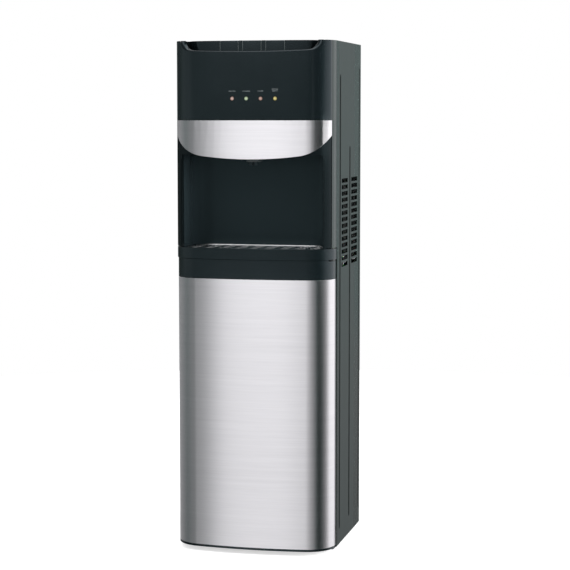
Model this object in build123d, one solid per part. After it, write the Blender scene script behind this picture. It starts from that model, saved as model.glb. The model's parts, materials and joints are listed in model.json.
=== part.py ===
from build123d import *

import math
import os

# Bottom-loading water dispenser, in millimetres.
# +Z is up, the front faces -Y, and the origin is on the floor under the middle of the cabinet.

# Water bottle that the cabinet is built around
BOTTLE_DIAMETER = 270.0
BOTTLE_PLAY = 4.0
BOTTLE_MARGIN = 3.5

# Cabinet plan
CABINET_WIDTH = 332.0
CROWN_RADIUS = 800.0
CORNER_RADIUS = 60.0
FRONT_BULGE = 64.0
CONDENSER_DEPTH = 21.0

# Heights, stacked from the floor up
FOOT_HEIGHT = 10.0
TRIM_HEIGHT = 5.3
SKIN_HEIGHT = 547.7
DOOR_CAP_HEIGHT = 36.4
TRAY_HEIGHT = 21.9
ALCOVE_HEIGHT = 179.0
BAND_HEIGHT = 77.5
HOOD_HEIGHT = 159.0

# Clearances
SEAM = 0.2
SLIDE_GAP = 0.4
PANEL_GAP = 2.8
RUNNING_GAP = 0.05
PLUG_GAP = 0.1

# Cabinet panels
SIDE_WALL = 2.8
LIP_ANGLE = 65.5
BACK_WALL = 1.2
BACK_INSET = 3.5
SHELF_DROP = 9.4
SHEET = 1.6
FLANGE = 16.0
PILLAR_SEAM = 1.5

# Side panel grooves: back from the side's front edge, up from its foot and down from its top
GROOVE_WIDTH = 2.2
GROOVE_DEPTH = 1.0
GROOVES = [(34.0, 37.0, 72.0), (132.0, 43.0, 218.0), (230.0, 40.0, 51.0)]

# Side panel louvres
LOUVRE_ROWS = 14
LOUVRE_PITCH = 13.2
LOUVRE_DROP = 3.5
LOUVRE_HEIGHT = 8.5
LOUVRE_DEPTH = 6.0
LOUVRE_COLUMNS = [(48.0, 110.0), (145.0, 211.0)]

# Base pan and feet
BASE_HEIGHT = 24.0
BASE_WALL = 3.0
BASE_PLATE = 4.0
NOSE_GAP = 5.5
NOSE_LIFT = 8.0
BOTTLE_RIM = 3.0
BOTTLE_RIM_HEIGHT = 5.0
BOTTLE_GATE = 120.0
FOOT_SIDE = 54.0
FOOT_FRONT = 41.2
FOOT_BACK = 28.5
FOOT_RADIUS = 15.0
FOOT_CHAMFER = 2.0

# Door
DOOR_INSET = 1.5
DOOR_WALL = 14.0
SKIN = 1.2
DOOR_FLOOR_GAP = 0.6
BOTTOM_PLUG = 18.7
FIELD_DEPTH = 3.0
FIELD_SIDE = 48.0
FIELD_MARGIN = 40.0
PULL_HEIGHT = 100.0
RAIL_HEIGHT = 43.0
PULL_DEPTH = 10.0
PULL_REACH = 15.0
HINGE_SETBACK = 6.6
PIN_RADIUS = 3.0
PIN_REACH = 15.0
BUSH_WALL = 2.0
HINGE_PLATE = 2.0
HINGE_PLATE_WIDTH = 12.0
HINGE_PLATE_LENGTH = 52.0
MAGNET_DROP = 23.0
MAGNET_LENGTH = 36.0
MAGNET_WIDTH = 8.0
MAGNET_THICKNESS = 3.0
KEEPER = 1.6

# Drip tray and grille
FASCIA = 2.8
TRAY_FLOOR = 2.2
TRAY_WALL = 2.2
TRAY_RIM = 9.0
LEDGE = 2.0
GRILLE = 1.6
GRILLE_BEAD = 1.2
GRILLE_BEAD_WIDTH = 3.0
SLOT_LENGTH = 20.0
SLOT_WIDTH = 5.0
SLOT_PITCH_X = 31.0
SLOT_PITCH_Y = 11.5
SLOT_MARGIN = 8.0

# Alcove
PILLAR_WIDTH = 20.0
ALCOVE_DEPTH = 134.0
ALCOVE_CORNER = 45.0
CEILING_RISE = 8.5
LINER_WALL = 3.0
LINER_SETBACK = 1.0
PILLAR_GROOVE = 1.2

# Steel band, with an upturned lower edge
BAND = 1.0
BAND_SWEEP = 60.4
BAND_FLAT_RADIUS = 800.0
BAND_END_RADIUS = 80.0

# Nozzle
NOZZLE_SETBACK = 25.0
NOZZLE_WIDTH = 24.0
NOZZLE_DEPTH = 40.0
NOZZLE_HEIGHT = 14.0
NOZZLE_ROUND = 4.0
SPOUT_RADIUS = 3.6
SPOUT_BORE = 2.4
SPOUT_DROP = 7.0
SPOUT_STUB = 16.0
SPOUT_SPREAD = 9.6
SPOUT_FRONT = 11.0
SPOUT_REAR = 24.0

# Hood, scoop and push keys
HOOD_WALL = 3.0
DECK = 3.0
HOOD_GAP = 0.3
LIP = 7.0
SCOOP_DEPTH = 23.5
SCOOP_SIDE = 16.0
SCOOP_SWEEP = 49.0
SCOOP_FLAT_RADIUS = 2550.0
SCOOP_END_RADIUS = 73.0
TRENCH_SIDE = 8.0
TRENCH_WALL = 2.5
KEY_SETBACK = 27.0
KEY_DROP = 34.0
KEY_FLOOR = 3.0
KEY_WIDTH = 39.4
KEY_PITCH = 47.4
KEY_DEPTH = 32.0
KEY_WALL = 2.4
KEY_ROUND = 1.6
KEY_GAP = 0.35
KEY_TRAVEL = 4.0
STEM_RADIUS = 4.0
GUIDE_WALL = 2.7
GUIDE_LENGTH = 10.0
SPRING_RADIUS = 6.2
SPRING_WIRE = 0.5
SPRING_TURNS = 6
SWITCH_SIZE = (22.0, 11.0, 14.0)

# Indicator lamps and their board
LAMP_RISE = 43.3
LAMP_ROW_X = 9.7
LAMP_PITCH = 29.2
LAMP_RADIUS = 3.8
LAMP_ROUND = 0.7
LAMP_FLANGE = 1.6
BOARD_SETBACK = 9.5
BOARD_SIZE = (136.0, 1.6, 44.0)
BOARD_BOSS_RADIUS = 4.0
BOARD_BOSS_X = 62.0
BOARD_BOSS_Z = 17.0

# Cold tank above, on its cradle
CRADLE_LIFT = 3.0
CRADLE_GAP = 20.0
TANK_RADIUS = 68.0
TANK_WALL = 1.2
TANK_HEADROOM = 23.4
COIL_WIRE = 3.0
COIL_TURNS = 6
COIL_PITCH = 17.0
COIL_START = 20.0
FOAM_WALL = 20.0
FOAM_GAP = 3.7
LID_HEIGHT = 22.0

# Hot tank, pump and compressor, on the shelf behind the alcove
HOT_SIDE = 81.0
HOT_FORWARD = 6.25
HOT_RADIUS = 46.0
HOT_HEIGHT = 152.0
HOT_ROUND = 14.0
HOT_NIPPLE = 4.0
HOT_STAND = 16.0
HOT_STAND_RADIUS = 34.0
HEATER_WALL = 2.6
HEATER_HEIGHT = 40.0
HEATER_LIFT = 44.0
DRAIN_LIFT = 24.0
DRAIN_RADIUS = 7.0
DRAIN_BORE = 4.0
DRAIN_REACH = 12.0
DRAIN_FLANGE = 12.0
CAP_WALL = 3.4
PUMP_CLEAR = 14.0
PUMP_BACK = 24.5
PUMP_WIDTH = 42.0
PUMP_DEPTH = 44.0
PUMP_HEIGHT = 24.0
MOTOR_RADIUS = 15.0
MOTOR_HEIGHT = 20.0
HOSE_RADIUS = 5.0
HOSE_WALL = 2.0
COLD_HOSE_LIFTS = (30.0, 58.0)
COLD_HOSE_BEND = 18.0
HOT_HOSE_LIFT = 14.0
HOT_HOSE_BEND = 9.0
COMPRESSOR_SIDE = 91.0
COMPRESSOR_BACKWARD = 5.75
COMPRESSOR_RADIUS = 60.0
COMPRESSOR_HEIGHT = 128.0
COMPRESSOR_DOME = 34.0
COMPRESSOR_PLATE = 3.0
COMPRESSOR_SEAM_HEIGHT = 62.0
TERMINAL_BOX = 14.0
GROMMET_HEIGHT = 10.0
GROMMET_RADIUS = 9.0
GROMMET_X = 44.0
GROMMET_Y = 52.0
PIPE_RADIUS = 3.0
PIPE_BEND = 12.0
PIPE_TAIL = 1.0
DISCHARGE_RISE = 43.4
SUCTION_OFFSET = 21.0
CAPILLARY_RADIUS = 1.4

# Condenser on the back
CONDENSER_SIDE = 62.0
CONDENSER_DROP = 24.0
CONDENSER_CLEAR = 50.0
CONDENSER_PITCH = 40.0
CONDENSER_TUBE = 2.4
WIRE_RADIUS = 0.8
WIRE_WELD = 0.2
WIRE_PITCH = 12.0
WIRE_MARGIN = 8.0
BRACKET_WIDTH = 9.0
BRACKET_HEIGHT = 16.0
BRACKET_MARGIN = 14.0
DRIER_LENGTH = 72.0
DRIER_RADIUS = 5.6

# Vents, switches and cord gland in the back
VENT_LENGTH = 82.0
VENT_WIDTH = 5.0
VENT_X = 71.0
VENT_ROWS = 7
VENT_PITCH = 13.2
VENT_RISE = 40.0
SWITCH_DROP = 110.0
SWITCH_SIDE = 50.0
SWITCH_PITCH = 32.0
ROCKER_WIDTH = 12.4
ROCKER_HALF = 9.0
ROCKER_CREST = 4.5
ROCKER_DIP = 1.0
ROCKER_TILT = 9.0
FRAME_BORDER = 3.0
FRAME_THICKNESS = 2.0
FRAME_DEPTH = 18.0
GLAND_X = -40.0
GLAND_RISE = 18.0
GLAND_RADIUS = 7.5
GLAND_BORE = 3.8
GLAND_FLANGE = 11.0
GLAND_LENGTH = 14.0

# Bottle probe in its holder
PROBE_SIDE = 34.0
PROBE_BACK = 31.5
PROBE_DROP = 98.0
PROBE_CLEAR = 50.0
PROBE_TUBE = 6.0
PROBE_TUBE_WALL = 1.8
PROBE_SLANT = 35.0
PROBE_CAP_RADIUS = 28.0
PROBE_CAP_HEIGHT = 26.0
PROBE_NIPPLE = 12.0
FLUTE = 2.4
FLUTE_COUNT = 24
HOLDER = 4.0
HOLDER_MARGIN = 2.0

# Levels
BASE_TOP_Z = FOOT_HEIGHT + BASE_HEIGHT
DOOR_BOTTOM_Z = FOOT_HEIGHT + DOOR_FLOOR_GAP
SKIN_BOTTOM_Z = FOOT_HEIGHT + TRIM_HEIGHT
BOTTOM_CAP_TOP_Z = SKIN_BOTTOM_Z + BOTTOM_PLUG
SKIN_TOP_Z = SKIN_BOTTOM_Z + SKIN_HEIGHT
RAIL_Z = SKIN_TOP_Z - RAIL_HEIGHT
PULL_Z = (RAIL_Z - PULL_HEIGHT, RAIL_Z)
MAGNET_Z = SKIN_TOP_Z - MAGNET_DROP
DOOR_TOP_Z = SKIN_TOP_Z + DOOR_CAP_HEIGHT
SHELF_TOP_Z = DOOR_TOP_Z - SHELF_DROP
UPPER_PLATE_Z = DOOR_TOP_Z + DOOR_FLOOR_GAP
TRAY_BOTTOM_Z = UPPER_PLATE_Z + HINGE_PLATE + DOOR_FLOOR_GAP
TRAY_TOP_Z = TRAY_BOTTOM_Z + TRAY_HEIGHT
PILLAR_Z = TRAY_TOP_Z + PILLAR_SEAM
LINER_FLOOR_Z = TRAY_BOTTOM_Z + LINER_WALL / 2
TRAY_FLOOR_Z = LINER_FLOOR_Z + SLIDE_GAP
GRILLE_Z = TRAY_TOP_Z - GRILLE - GRILLE_BEAD - SEAM
BAND_BOTTOM_Z = TRAY_TOP_Z + ALCOVE_HEIGHT
ALCOVE_TOP_Z = BAND_BOTTOM_Z + CEILING_RISE
NOZZLE_BOTTOM_Z = ALCOVE_TOP_Z - NOZZLE_HEIGHT
SPOUT_TOP_Z = ALCOVE_TOP_Z + LINER_WALL + SPOUT_STUB
BAND_TOP_Z = BAND_BOTTOM_Z + BAND_HEIGHT
HOOD_Z = BAND_TOP_Z + HOOD_GAP
LAMP_Z = BAND_TOP_Z + LAMP_RISE
TOTAL_HEIGHT = BAND_TOP_Z + HOOD_HEIGHT
DECK_Z = TOTAL_HEIGHT - DECK
SCOOP_Z = TOTAL_HEIGHT - SCOOP_DEPTH
KEY_TOP_Z = TOTAL_HEIGHT
KEY_FLOOR_Z = TOTAL_HEIGHT - KEY_DROP
KEY_BOTTOM_Z = KEY_FLOOR_Z + 2 * KEY_TRAVEL
GUIDE_Z = KEY_FLOOR_Z - GUIDE_LENGTH
STEM_END_Z = GUIDE_Z + KEY_TRAVEL + SLIDE_GAP
LOUVRE_FIRST_Z = SHELF_TOP_Z - LOUVRE_DROP
CRADLE_Z = ALCOVE_TOP_Z + LINER_WALL + CRADLE_LIFT
FOAM_BOTTOM_Z = CRADLE_Z + SHEET
TANK_FLOOR_Z = FOAM_BOTTOM_Z + FOAM_WALL
FOAM_TOP_Z = DECK_Z - TANK_HEADROOM - LID_HEIGHT
HOT_Z = SHELF_TOP_Z + HOT_STAND
HEATER_Z = HOT_Z + HEATER_LIFT
DRAIN_Z = HOT_Z + DRAIN_LIFT
COMPRESSOR_Z = SHELF_TOP_Z + GROMMET_HEIGHT
DISCHARGE_Z = COMPRESSOR_Z + DISCHARGE_RISE
CAPILLARY_Z = SHELF_TOP_Z + GROMMET_HEIGHT
PUMP_TOP_Z = SHELF_TOP_Z + PUMP_HEIGHT + MOTOR_HEIGHT
PUMP_INLET_Z = SHELF_TOP_Z + PUMP_HEIGHT / 2
CONDENSER_TOP_Z = SHELF_TOP_Z - CONDENSER_DROP
CONDENSER_RUNS = 2 * int((CONDENSER_TOP_Z - BASE_TOP_Z - CONDENSER_CLEAR) / (2 * CONDENSER_PITCH))
CONDENSER_BOTTOM_Z = CONDENSER_TOP_Z - CONDENSER_PITCH * (CONDENSER_RUNS - 1)
SWITCH_Z = TOTAL_HEIGHT - SWITCH_DROP
GLAND_Z = SHELF_TOP_Z + GLAND_RISE
PROBE_TIP_Z = BASE_TOP_Z + PROBE_CLEAR
PROBE_CAP_Z = SHELF_TOP_Z - PROBE_DROP
PROBE_CAP_TOP_Z = PROBE_CAP_Z + PROBE_CAP_HEIGHT
PROBE_NIPPLE_Z = PROBE_CAP_TOP_Z + PROBE_NIPPLE
FAR = TOTAL_HEIGHT

# Places across the width
HALF_WIDTH = CABINET_WIDTH / 2
INNER_HALF = HALF_WIDTH - SIDE_WALL - SEAM
CORNER_X = HALF_WIDTH - CORNER_RADIUS
LIP_X = CORNER_X + CORNER_RADIUS * math.sin(math.radians(LIP_ANGLE))
FRONT_HALF = LIP_X - SEAM
FOOT_X = HALF_WIDTH - FOOT_SIDE
FIELD_HALF = HALF_WIDTH - FIELD_SIDE
HINGE_X = HALF_WIDTH - DOOR_INSET - DOOR_WALL / 2
ALCOVE_HALF = HALF_WIDTH - PILLAR_WIDTH
BAND_FLAT_HALF = FRONT_HALF - BAND_SWEEP
SCOOP_HALF = HALF_WIDTH - SCOOP_SIDE
SCOOP_FLAT_HALF = SCOOP_HALF - SCOOP_SWEEP
TRENCH_HALF = SCOOP_HALF - TRENCH_SIDE
KEYS_X = [-KEY_PITCH, 0.0, KEY_PITCH]
LAMPS_X = [LAMP_ROW_X + LAMP_PITCH * step for step in (-1.5, -0.5, 0.5, 1.5)]
COIL_RADIUS = TANK_RADIUS + SLIDE_GAP + COIL_WIRE
FOAM_BORE = COIL_RADIUS + COIL_WIRE + SLIDE_GAP
FOAM_RADIUS = FOAM_BORE + FOAM_WALL
HOT_X = HALF_WIDTH - HOT_SIDE
COMPRESSOR_X = COMPRESSOR_SIDE - HALF_WIDTH
PUMP_X = COMPRESSOR_X + GROMMET_X + GROMMET_RADIUS + PUMP_CLEAR + PUMP_WIDTH / 2
SUCTION_X = COMPRESSOR_X + SUCTION_OFFSET
CONDENSER_HALF = HALF_WIDTH - CONDENSER_SIDE
DISCHARGE_X = -CONDENSER_HALF - PIPE_BEND - PIPE_TAIL
CAPILLARY_X = -CONDENSER_HALF - CONDENSER_PITCH
WIRES_EACH_SIDE = int((CONDENSER_HALF - WIRE_MARGIN) / WIRE_PITCH)
BRACKET_X = CONDENSER_HALF - BRACKET_MARGIN
SWITCH_X = [HALF_WIDTH - SWITCH_SIDE - SWITCH_PITCH, HALF_WIDTH - SWITCH_SIDE]
PROBE_X = HALF_WIDTH - PROBE_SIDE

# Places from front to back
DOOR_BACK = DOOR_INSET + DOOR_WALL
CORE_INSET = DOOR_INSET + SKIN + PLUG_GAP
NOSE_INSET = DOOR_BACK + NOSE_GAP
BOTTLE_SEAT = BOTTLE_DIAMETER / 2 + BOTTLE_PLAY
BAY_DEPTH = 2 * BOTTLE_SEAT + BOTTLE_RIM + BOTTLE_MARGIN
TOTAL_DEPTH = NOSE_INSET + BAY_DEPTH + BACK_INSET + CONDENSER_DEPTH
FRONT_Y = -TOTAL_DEPTH / 2
SIDE_FRONT_Y = FRONT_Y + FRONT_BULGE
SIDE_BACK_Y = TOTAL_DEPTH / 2 - CONDENSER_DEPTH
BACK_Y = SIDE_BACK_Y - BACK_INSET
BACK_FACE_Y = BACK_Y + BACK_WALL
BOTTLE_CENTRE_Y = FRONT_Y + NOSE_INSET + BOTTLE_SEAT
CROWN_CENTRE_Y = FRONT_Y + CROWN_RADIUS
CORNER_Y = CROWN_CENTRE_Y - math.sqrt((CROWN_RADIUS - CORNER_RADIUS) ** 2 - CORNER_X**2)
CORNER_TURN = math.atan2(CORNER_X, CROWN_CENTRE_Y - CORNER_Y)
EDGE_Y = CORNER_Y + PANEL_GAP
SHELF_FRONT_Y = EDGE_Y + PANEL_GAP
BASE_FRONT_Y = EDGE_Y + PANEL_GAP / 2
FOOT_FRONT_Y = BASE_FRONT_Y + FOOT_FRONT
FOOT_BACK_Y = BACK_Y - FOOT_BACK
HINGE_Y = CORNER_Y - HINGE_SETBACK
LINER_INSET = LINER_SETBACK + LINER_WALL
ALCOVE_BACK_Y = FRONT_Y + ALCOVE_DEPTH
NOZZLE_Y = FRONT_Y + NOZZLE_SETBACK
SPOUTS = [
    (-SPOUT_SPREAD / 2, NOZZLE_Y + SPOUT_FRONT),
    (SPOUT_SPREAD / 2, NOZZLE_Y + SPOUT_FRONT),
    (0.0, NOZZLE_Y + SPOUT_REAR),
]
KEY_BACK_Y = FRONT_Y + KEY_SETBACK + KEY_DEPTH
STEM_Y = KEY_BACK_Y - KEY_DEPTH / 2
BOARD_Y = FRONT_Y + BOARD_SETBACK
TANK_Y = BACK_Y - FOAM_RADIUS - FOAM_GAP
CRADLE_FRONT_Y = ALCOVE_BACK_Y + LINER_WALL + CRADLE_GAP
MACHINE_Y = (ALCOVE_BACK_Y + LINER_WALL + BACK_Y) / 2
HOT_Y = MACHINE_Y - HOT_FORWARD
COMPRESSOR_Y = MACHINE_Y + COMPRESSOR_BACKWARD
PUMP_Y = BACK_Y - PUMP_BACK
CONDENSER_Y = TOTAL_DEPTH / 2 - DRIER_RADIUS
PROBE_Y = BACK_Y - PROBE_BACK
ROCKER_PIVOT_Y = BACK_FACE_Y - FRAME_THICKNESS


# Building blocks


def slab(x, y, z):
    """A box between the two limits given on each axis."""
    centre = Pos((x[0] + x[1]) / 2, (y[0] + y[1]) / 2, (z[0] + z[1]) / 2)
    return centre * Box(x[1] - x[0], y[1] - y[0], z[1] - z[0])


def post(x, y, radius, z):
    """An upright cylinder."""
    return Pos(x, y, (z[0] + z[1]) / 2) * Cylinder(radius, z[1] - z[0])


def bar(x, z, radius, y):
    """A cylinder that runs front to back."""
    return Pos(x, (y[0] + y[1]) / 2, z) * Rot(90, 0, 0) * Cylinder(radius, y[1] - y[0])


def prism(face, z):
    """A plan face raised between two levels."""
    return Pos(0, 0, z[0]) * extrude(face, amount=z[1] - z[0], dir=(0, 0, 1))


def plan(inset):
    """The cabinet's plan: a crowned front, two round corners and long straight sides."""
    half = HALF_WIDTH - inset
    back_y = TOTAL_DEPTH
    corner = CORNER_RADIUS - inset
    crown = CROWN_RADIUS - inset
    middle = (CORNER_TURN + math.pi / 2) / 2
    join_x = crown * math.sin(CORNER_TURN)
    join_y = CROWN_CENTRE_Y - crown * math.cos(CORNER_TURN)
    middle_x = CORNER_X + corner * math.sin(middle)
    middle_y = CORNER_Y - corner * math.cos(middle)
    edges = [
        Line((half, back_y), (half, CORNER_Y)),
        ThreePointArc((half, CORNER_Y), (middle_x, middle_y), (join_x, join_y)),
        ThreePointArc((join_x, join_y), (0, CROWN_CENTRE_Y - crown), (-join_x, join_y)),
        ThreePointArc((-join_x, join_y), (-middle_x, middle_y), (-half, CORNER_Y)),
        Line((-half, CORNER_Y), (-half, back_y)),
        Line((-half, back_y), (half, back_y)),
    ]
    return make_face(edges)


def column(inset, back_y, z):
    """The cabinet's plan, drawn in by an inset, as a solid that ends at back_y."""
    return prism(plan(inset), z) & slab((-FAR, FAR), (-FAR, back_y), z)


def wall(outer, inner, back_y, z):
    """A curved front wall between two insets of the plan, open at the back."""
    return column(outer, back_y, z) - prism(plan(inner), z)


def between(half, z):
    """A slab that keeps what lies within half of the middle plane."""
    return slab((-half, half), (-FAR, FAR), z)


def recess(offset, z):
    """The alcove's plan as a solid, grown or shrunk by an offset."""
    half = ALCOVE_HALF + offset
    back = ALCOVE_BACK_Y + offset
    corner = ALCOVE_CORNER + offset
    front = FRONT_Y - LIP
    slant = corner * (1 - math.sqrt(0.5))
    edges = [
        Line((-half, front), (-half, back - corner)),
        ThreePointArc((-half, back - corner), (-half + slant, back - slant), (-half + corner, back)),
        Line((-half + corner, back), (half - corner, back)),
        ThreePointArc((half - corner, back), (half - slant, back - slant), (half, back - corner)),
        Line((half, back - corner), (half, front)),
        Line((half, front), (-half, front)),
    ]
    return prism(make_face(edges), z)


def above_smile(bottom_z, flat_half, flat_radius, end_radius, end_x, top_z):
    """What lies above a shallow curve whose ends sweep up, right through the front."""
    lean = math.asin(flat_half / flat_radius)
    join_z = bottom_z + flat_radius * (1 - math.cos(lean))
    centre_x = flat_half - end_radius * math.sin(lean)
    centre_z = join_z + end_radius * math.cos(lean)
    end_lean = math.asin((end_x - centre_x) / end_radius)
    end_z = centre_z - end_radius * math.cos(end_lean)
    half_lean = (lean + end_lean) / 2
    mid_x = centre_x + end_radius * math.sin(half_lean)
    mid_z = centre_z - end_radius * math.cos(half_lean)
    edges = [
        ThreePointArc((-end_x, 0, end_z), (-mid_x, 0, mid_z), (-flat_half, 0, join_z)),
        ThreePointArc((-flat_half, 0, join_z), (0, 0, bottom_z), (flat_half, 0, join_z)),
        ThreePointArc((flat_half, 0, join_z), (mid_x, 0, mid_z), (end_x, 0, end_z)),
        Line((end_x, 0, end_z), (end_x, 0, top_z)),
        Line((end_x, 0, top_z), (-end_x, 0, top_z)),
        Line((-end_x, 0, top_z), (-end_x, 0, end_z)),
    ]
    return extrude(make_face(edges), amount=TOTAL_DEPTH, dir=(0, -1, 0))


def tube(points, radii, radius):
    """A round bar along straight runs joined by tangent arcs."""
    path = FilletPolyline(*points, radius=radii)
    section = Plane(origin=path @ 0, z_dir=path % 0) * Circle(radius)
    return sweep(section, path=path)


def winding(centre, radius, pitch, turns, start_z, wire):
    """A round wire wound up a cylinder, each half turn a pair of tangent arcs."""
    lead = pitch / (2 * math.pi)

    def point(angle):
        return Vector(
            centre[0] + radius * math.cos(angle),
            centre[1] + radius * math.sin(angle),
            start_z + lead * angle,
        )

    def heading(angle):
        return Vector(-radius * math.sin(angle), radius * math.cos(angle), lead).normalized()

    edges = []
    for step in range(2 * turns):
        low = math.pi * step
        high = math.pi * (step + 1)
        span = point(high) - point(low)
        headings = heading(low) + heading(high)
        spread = 2 * (1 - heading(low).dot(heading(high)))
        along = span.dot(headings)
        reach = (-along + math.sqrt(along**2 + spread * span.dot(span))) / spread
        middle = (point(low) + heading(low) * reach + point(high) - heading(high) * reach) / 2
        first = Edge.make_tangent_arc(point(low), heading(low), middle)
        edges.append(first)
        edges.append(Edge.make_tangent_arc(middle, first % 1, point(high)))
    path = Wire(edges)
    print("least gap between turns", round(least_gap(path, turns, wire), 2))
    section = Plane(origin=point(0), z_dir=heading(0)) * Circle(wire)
    return sweep(section, path=path)


def least_gap(path, turns, wire):
    """The clear space between a winding's turns, measured on points along it."""
    per_turn = 24
    points = [path @ (step / (per_turn * turns)) for step in range(per_turn * turns + 1)]
    spans = []
    for index, here in enumerate(points):
        for other in points[index + per_turn // 2 :]:
            spans.append((other - here).length)
    return min(spans) - 2 * wire


def crown_y(x, inset):
    """Where the crowned front lies at a distance from the middle plane."""
    return CROWN_CENTRE_Y - math.sqrt((CROWN_RADIUS - inset) ** 2 - x**2)


# Cabinet


def base_pan():
    """Base with a skirt, a nose under the bottle's front, foot bosses and a rim with a bottle gate."""
    side = (-INNER_HALF, INNER_HALF)
    deep = (BASE_FRONT_Y, BACK_Y - SEAM)
    body = slab(side, deep, (FOOT_HEIGHT, BASE_TOP_Z))
    hollow_x = (-INNER_HALF + BASE_WALL, INNER_HALF - BASE_WALL)
    hollow_y = (deep[0] + BASE_WALL, deep[1] - BASE_WALL)
    body -= slab(hollow_x, hollow_y, (FOOT_HEIGHT, BASE_TOP_Z - BASE_PLATE))
    nose_z = (FOOT_HEIGHT + NOSE_LIFT, BASE_TOP_Z)
    nose = column(NOSE_INSET, BASE_FRONT_Y, nose_z)
    nose -= column(NOSE_INSET + BASE_WALL, BASE_FRONT_Y, (nose_z[0], BASE_TOP_Z - BASE_PLATE))
    body += nose
    for x in (-FOOT_X, FOOT_X):
        for y in (FOOT_FRONT_Y, FOOT_BACK_Y):
            body += post(x, y, FOOT_RADIUS, (FOOT_HEIGHT, BASE_TOP_Z - BASE_PLATE / 2))
    rim_z = (BASE_TOP_Z - BASE_PLATE / 2, BASE_TOP_Z + BOTTLE_RIM_HEIGHT)
    rim = post(0, BOTTLE_CENTRE_Y, BOTTLE_SEAT + BOTTLE_RIM, rim_z)
    rim -= post(0, BOTTLE_CENTRE_Y, BOTTLE_SEAT, rim_z)
    gate = slab((-BOTTLE_GATE / 2, BOTTLE_GATE / 2), (-FAR, BOTTLE_CENTRE_Y), rim_z)
    return body + (rim - gate)


def feet():
    """Four rubber glides under the base."""
    glides = []
    for x in (-FOOT_X, FOOT_X):
        for y in (FOOT_FRONT_Y, FOOT_BACK_Y):
            glide = post(x, y, FOOT_RADIUS, (0, FOOT_HEIGHT))
            glides.append(chamfer(glide.edges().sort_by(Axis.Z)[0], FOOT_CHAMFER))
    return glides


def right_side_panel():
    """Moulded side with a turned front lip above the door, three grooves and two louvre columns."""
    tall = (FOOT_HEIGHT, TOTAL_HEIGHT)
    panel = wall(0, SIDE_WALL, SIDE_BACK_Y, tall)
    upper = slab((LIP_X, FAR), (-FAR, FAR), (PILLAR_Z, TOTAL_HEIGHT))
    lower = slab((LIP_X, FAR), (EDGE_Y, FAR), (FOOT_HEIGHT, PILLAR_Z))
    panel &= upper + lower
    rib_x = (HALF_WIDTH - SIDE_WALL - BACK_INSET * 2, HALF_WIDTH - SIDE_WALL / 2)
    rib_z = (BASE_TOP_Z + BOTTLE_RIM_HEIGHT, DECK_Z - SEAM)
    panel += slab(rib_x, (BACK_Y - SEAM - SIDE_WALL, BACK_Y - SEAM), rib_z)
    for level in (SHELF_TOP_Z - SHEET, CRADLE_Z):
        panel -= slab((0, HALF_WIDTH - SIDE_WALL), (0, BACK_Y), (level - SEAM, level + SHEET + SEAM))
    cuts = []
    for back, rise, drop in GROOVES:
        middle = SIDE_FRONT_Y + back
        groove_y = (middle - GROOVE_WIDTH / 2, middle + GROOVE_WIDTH / 2)
        groove_z = (FOOT_HEIGHT + rise, TOTAL_HEIGHT - drop)
        cuts.append(slab((HALF_WIDTH - GROOVE_DEPTH, FAR), groove_y, groove_z))
    for front, rear in LOUVRE_COLUMNS:
        flush = (HALF_WIDTH, SIDE_FRONT_Y + front)
        deep = (HALF_WIDTH - LOUVRE_DEPTH, SIDE_FRONT_Y + rear)
        open_end = (HALF_WIDTH, SIDE_FRONT_Y + rear)
        ramp = make_face(Polyline(flush, open_end, deep, close=True))
        for row in range(LOUVRE_ROWS):
            low = LOUVRE_FIRST_Z + LOUVRE_PITCH * row - LOUVRE_HEIGHT / 2
            cuts.append(prism(ramp, (low, low + LOUVRE_HEIGHT)))
    return panel - cuts


def back_panel():
    """Pressed steel back with its cut-outs and a field of vent slots."""
    sheet_z = (BASE_TOP_Z + SEAM, DECK_Z - SEAM)
    panel = slab((-INNER_HALF, INNER_HALF), (BACK_Y, BACK_FACE_Y), sheet_z)
    through = (BACK_Y - BACK_WALL, BACK_FACE_Y + BACK_WALL)
    cuts = [
        bar(HOT_X, DRAIN_Z, DRAIN_RADIUS + PLUG_GAP, through),
        bar(GLAND_X, GLAND_Z, GLAND_RADIUS + PLUG_GAP, through),
        bar(DISCHARGE_X, DISCHARGE_Z, PIPE_RADIUS + SLIDE_GAP, through),
        bar(CAPILLARY_X, CAPILLARY_Z, CAPILLARY_RADIUS + SLIDE_GAP, through),
    ]
    for x in SWITCH_X:
        half_x = ROCKER_WIDTH / 2 + FRAME_BORDER / 2
        half_z = ROCKER_HALF + FRAME_BORDER
        cut_x = (x - half_x - PLUG_GAP, x + half_x + PLUG_GAP)
        cuts.append(slab(cut_x, through, (SWITCH_Z - half_z - PLUG_GAP, SWITCH_Z + half_z + PLUG_GAP)))
    slot = extrude(SlotOverall(VENT_LENGTH, VENT_WIDTH), amount=through[1] - through[0])
    for x in (-VENT_X, VENT_X):
        for row in range(VENT_ROWS):
            level = DRAIN_Z + VENT_RISE + VENT_PITCH * row
            cuts.append(Pos(x, through[1], level) * Rot(90, 0, 0) * slot)
    return panel - cuts


def machine_shelf():
    """Folded steel shelf over the bottle bay, with a front flange."""
    side = (-INNER_HALF, INNER_HALF)
    plate = slab(side, (SHELF_FRONT_Y, BACK_Y - SEAM), (SHELF_TOP_Z - SHEET, SHELF_TOP_Z))
    flange_y = (SHELF_FRONT_Y, SHELF_FRONT_Y + SHEET)
    plate += slab(side, flange_y, (SHELF_TOP_Z - FLANGE, SHELF_TOP_Z - SHEET))
    hole = post(PROBE_X, PROBE_Y, HOSE_RADIUS + SLIDE_GAP, (SHELF_TOP_Z - FLANGE, SHELF_TOP_Z + SHEET))
    return plate - hole


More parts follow.
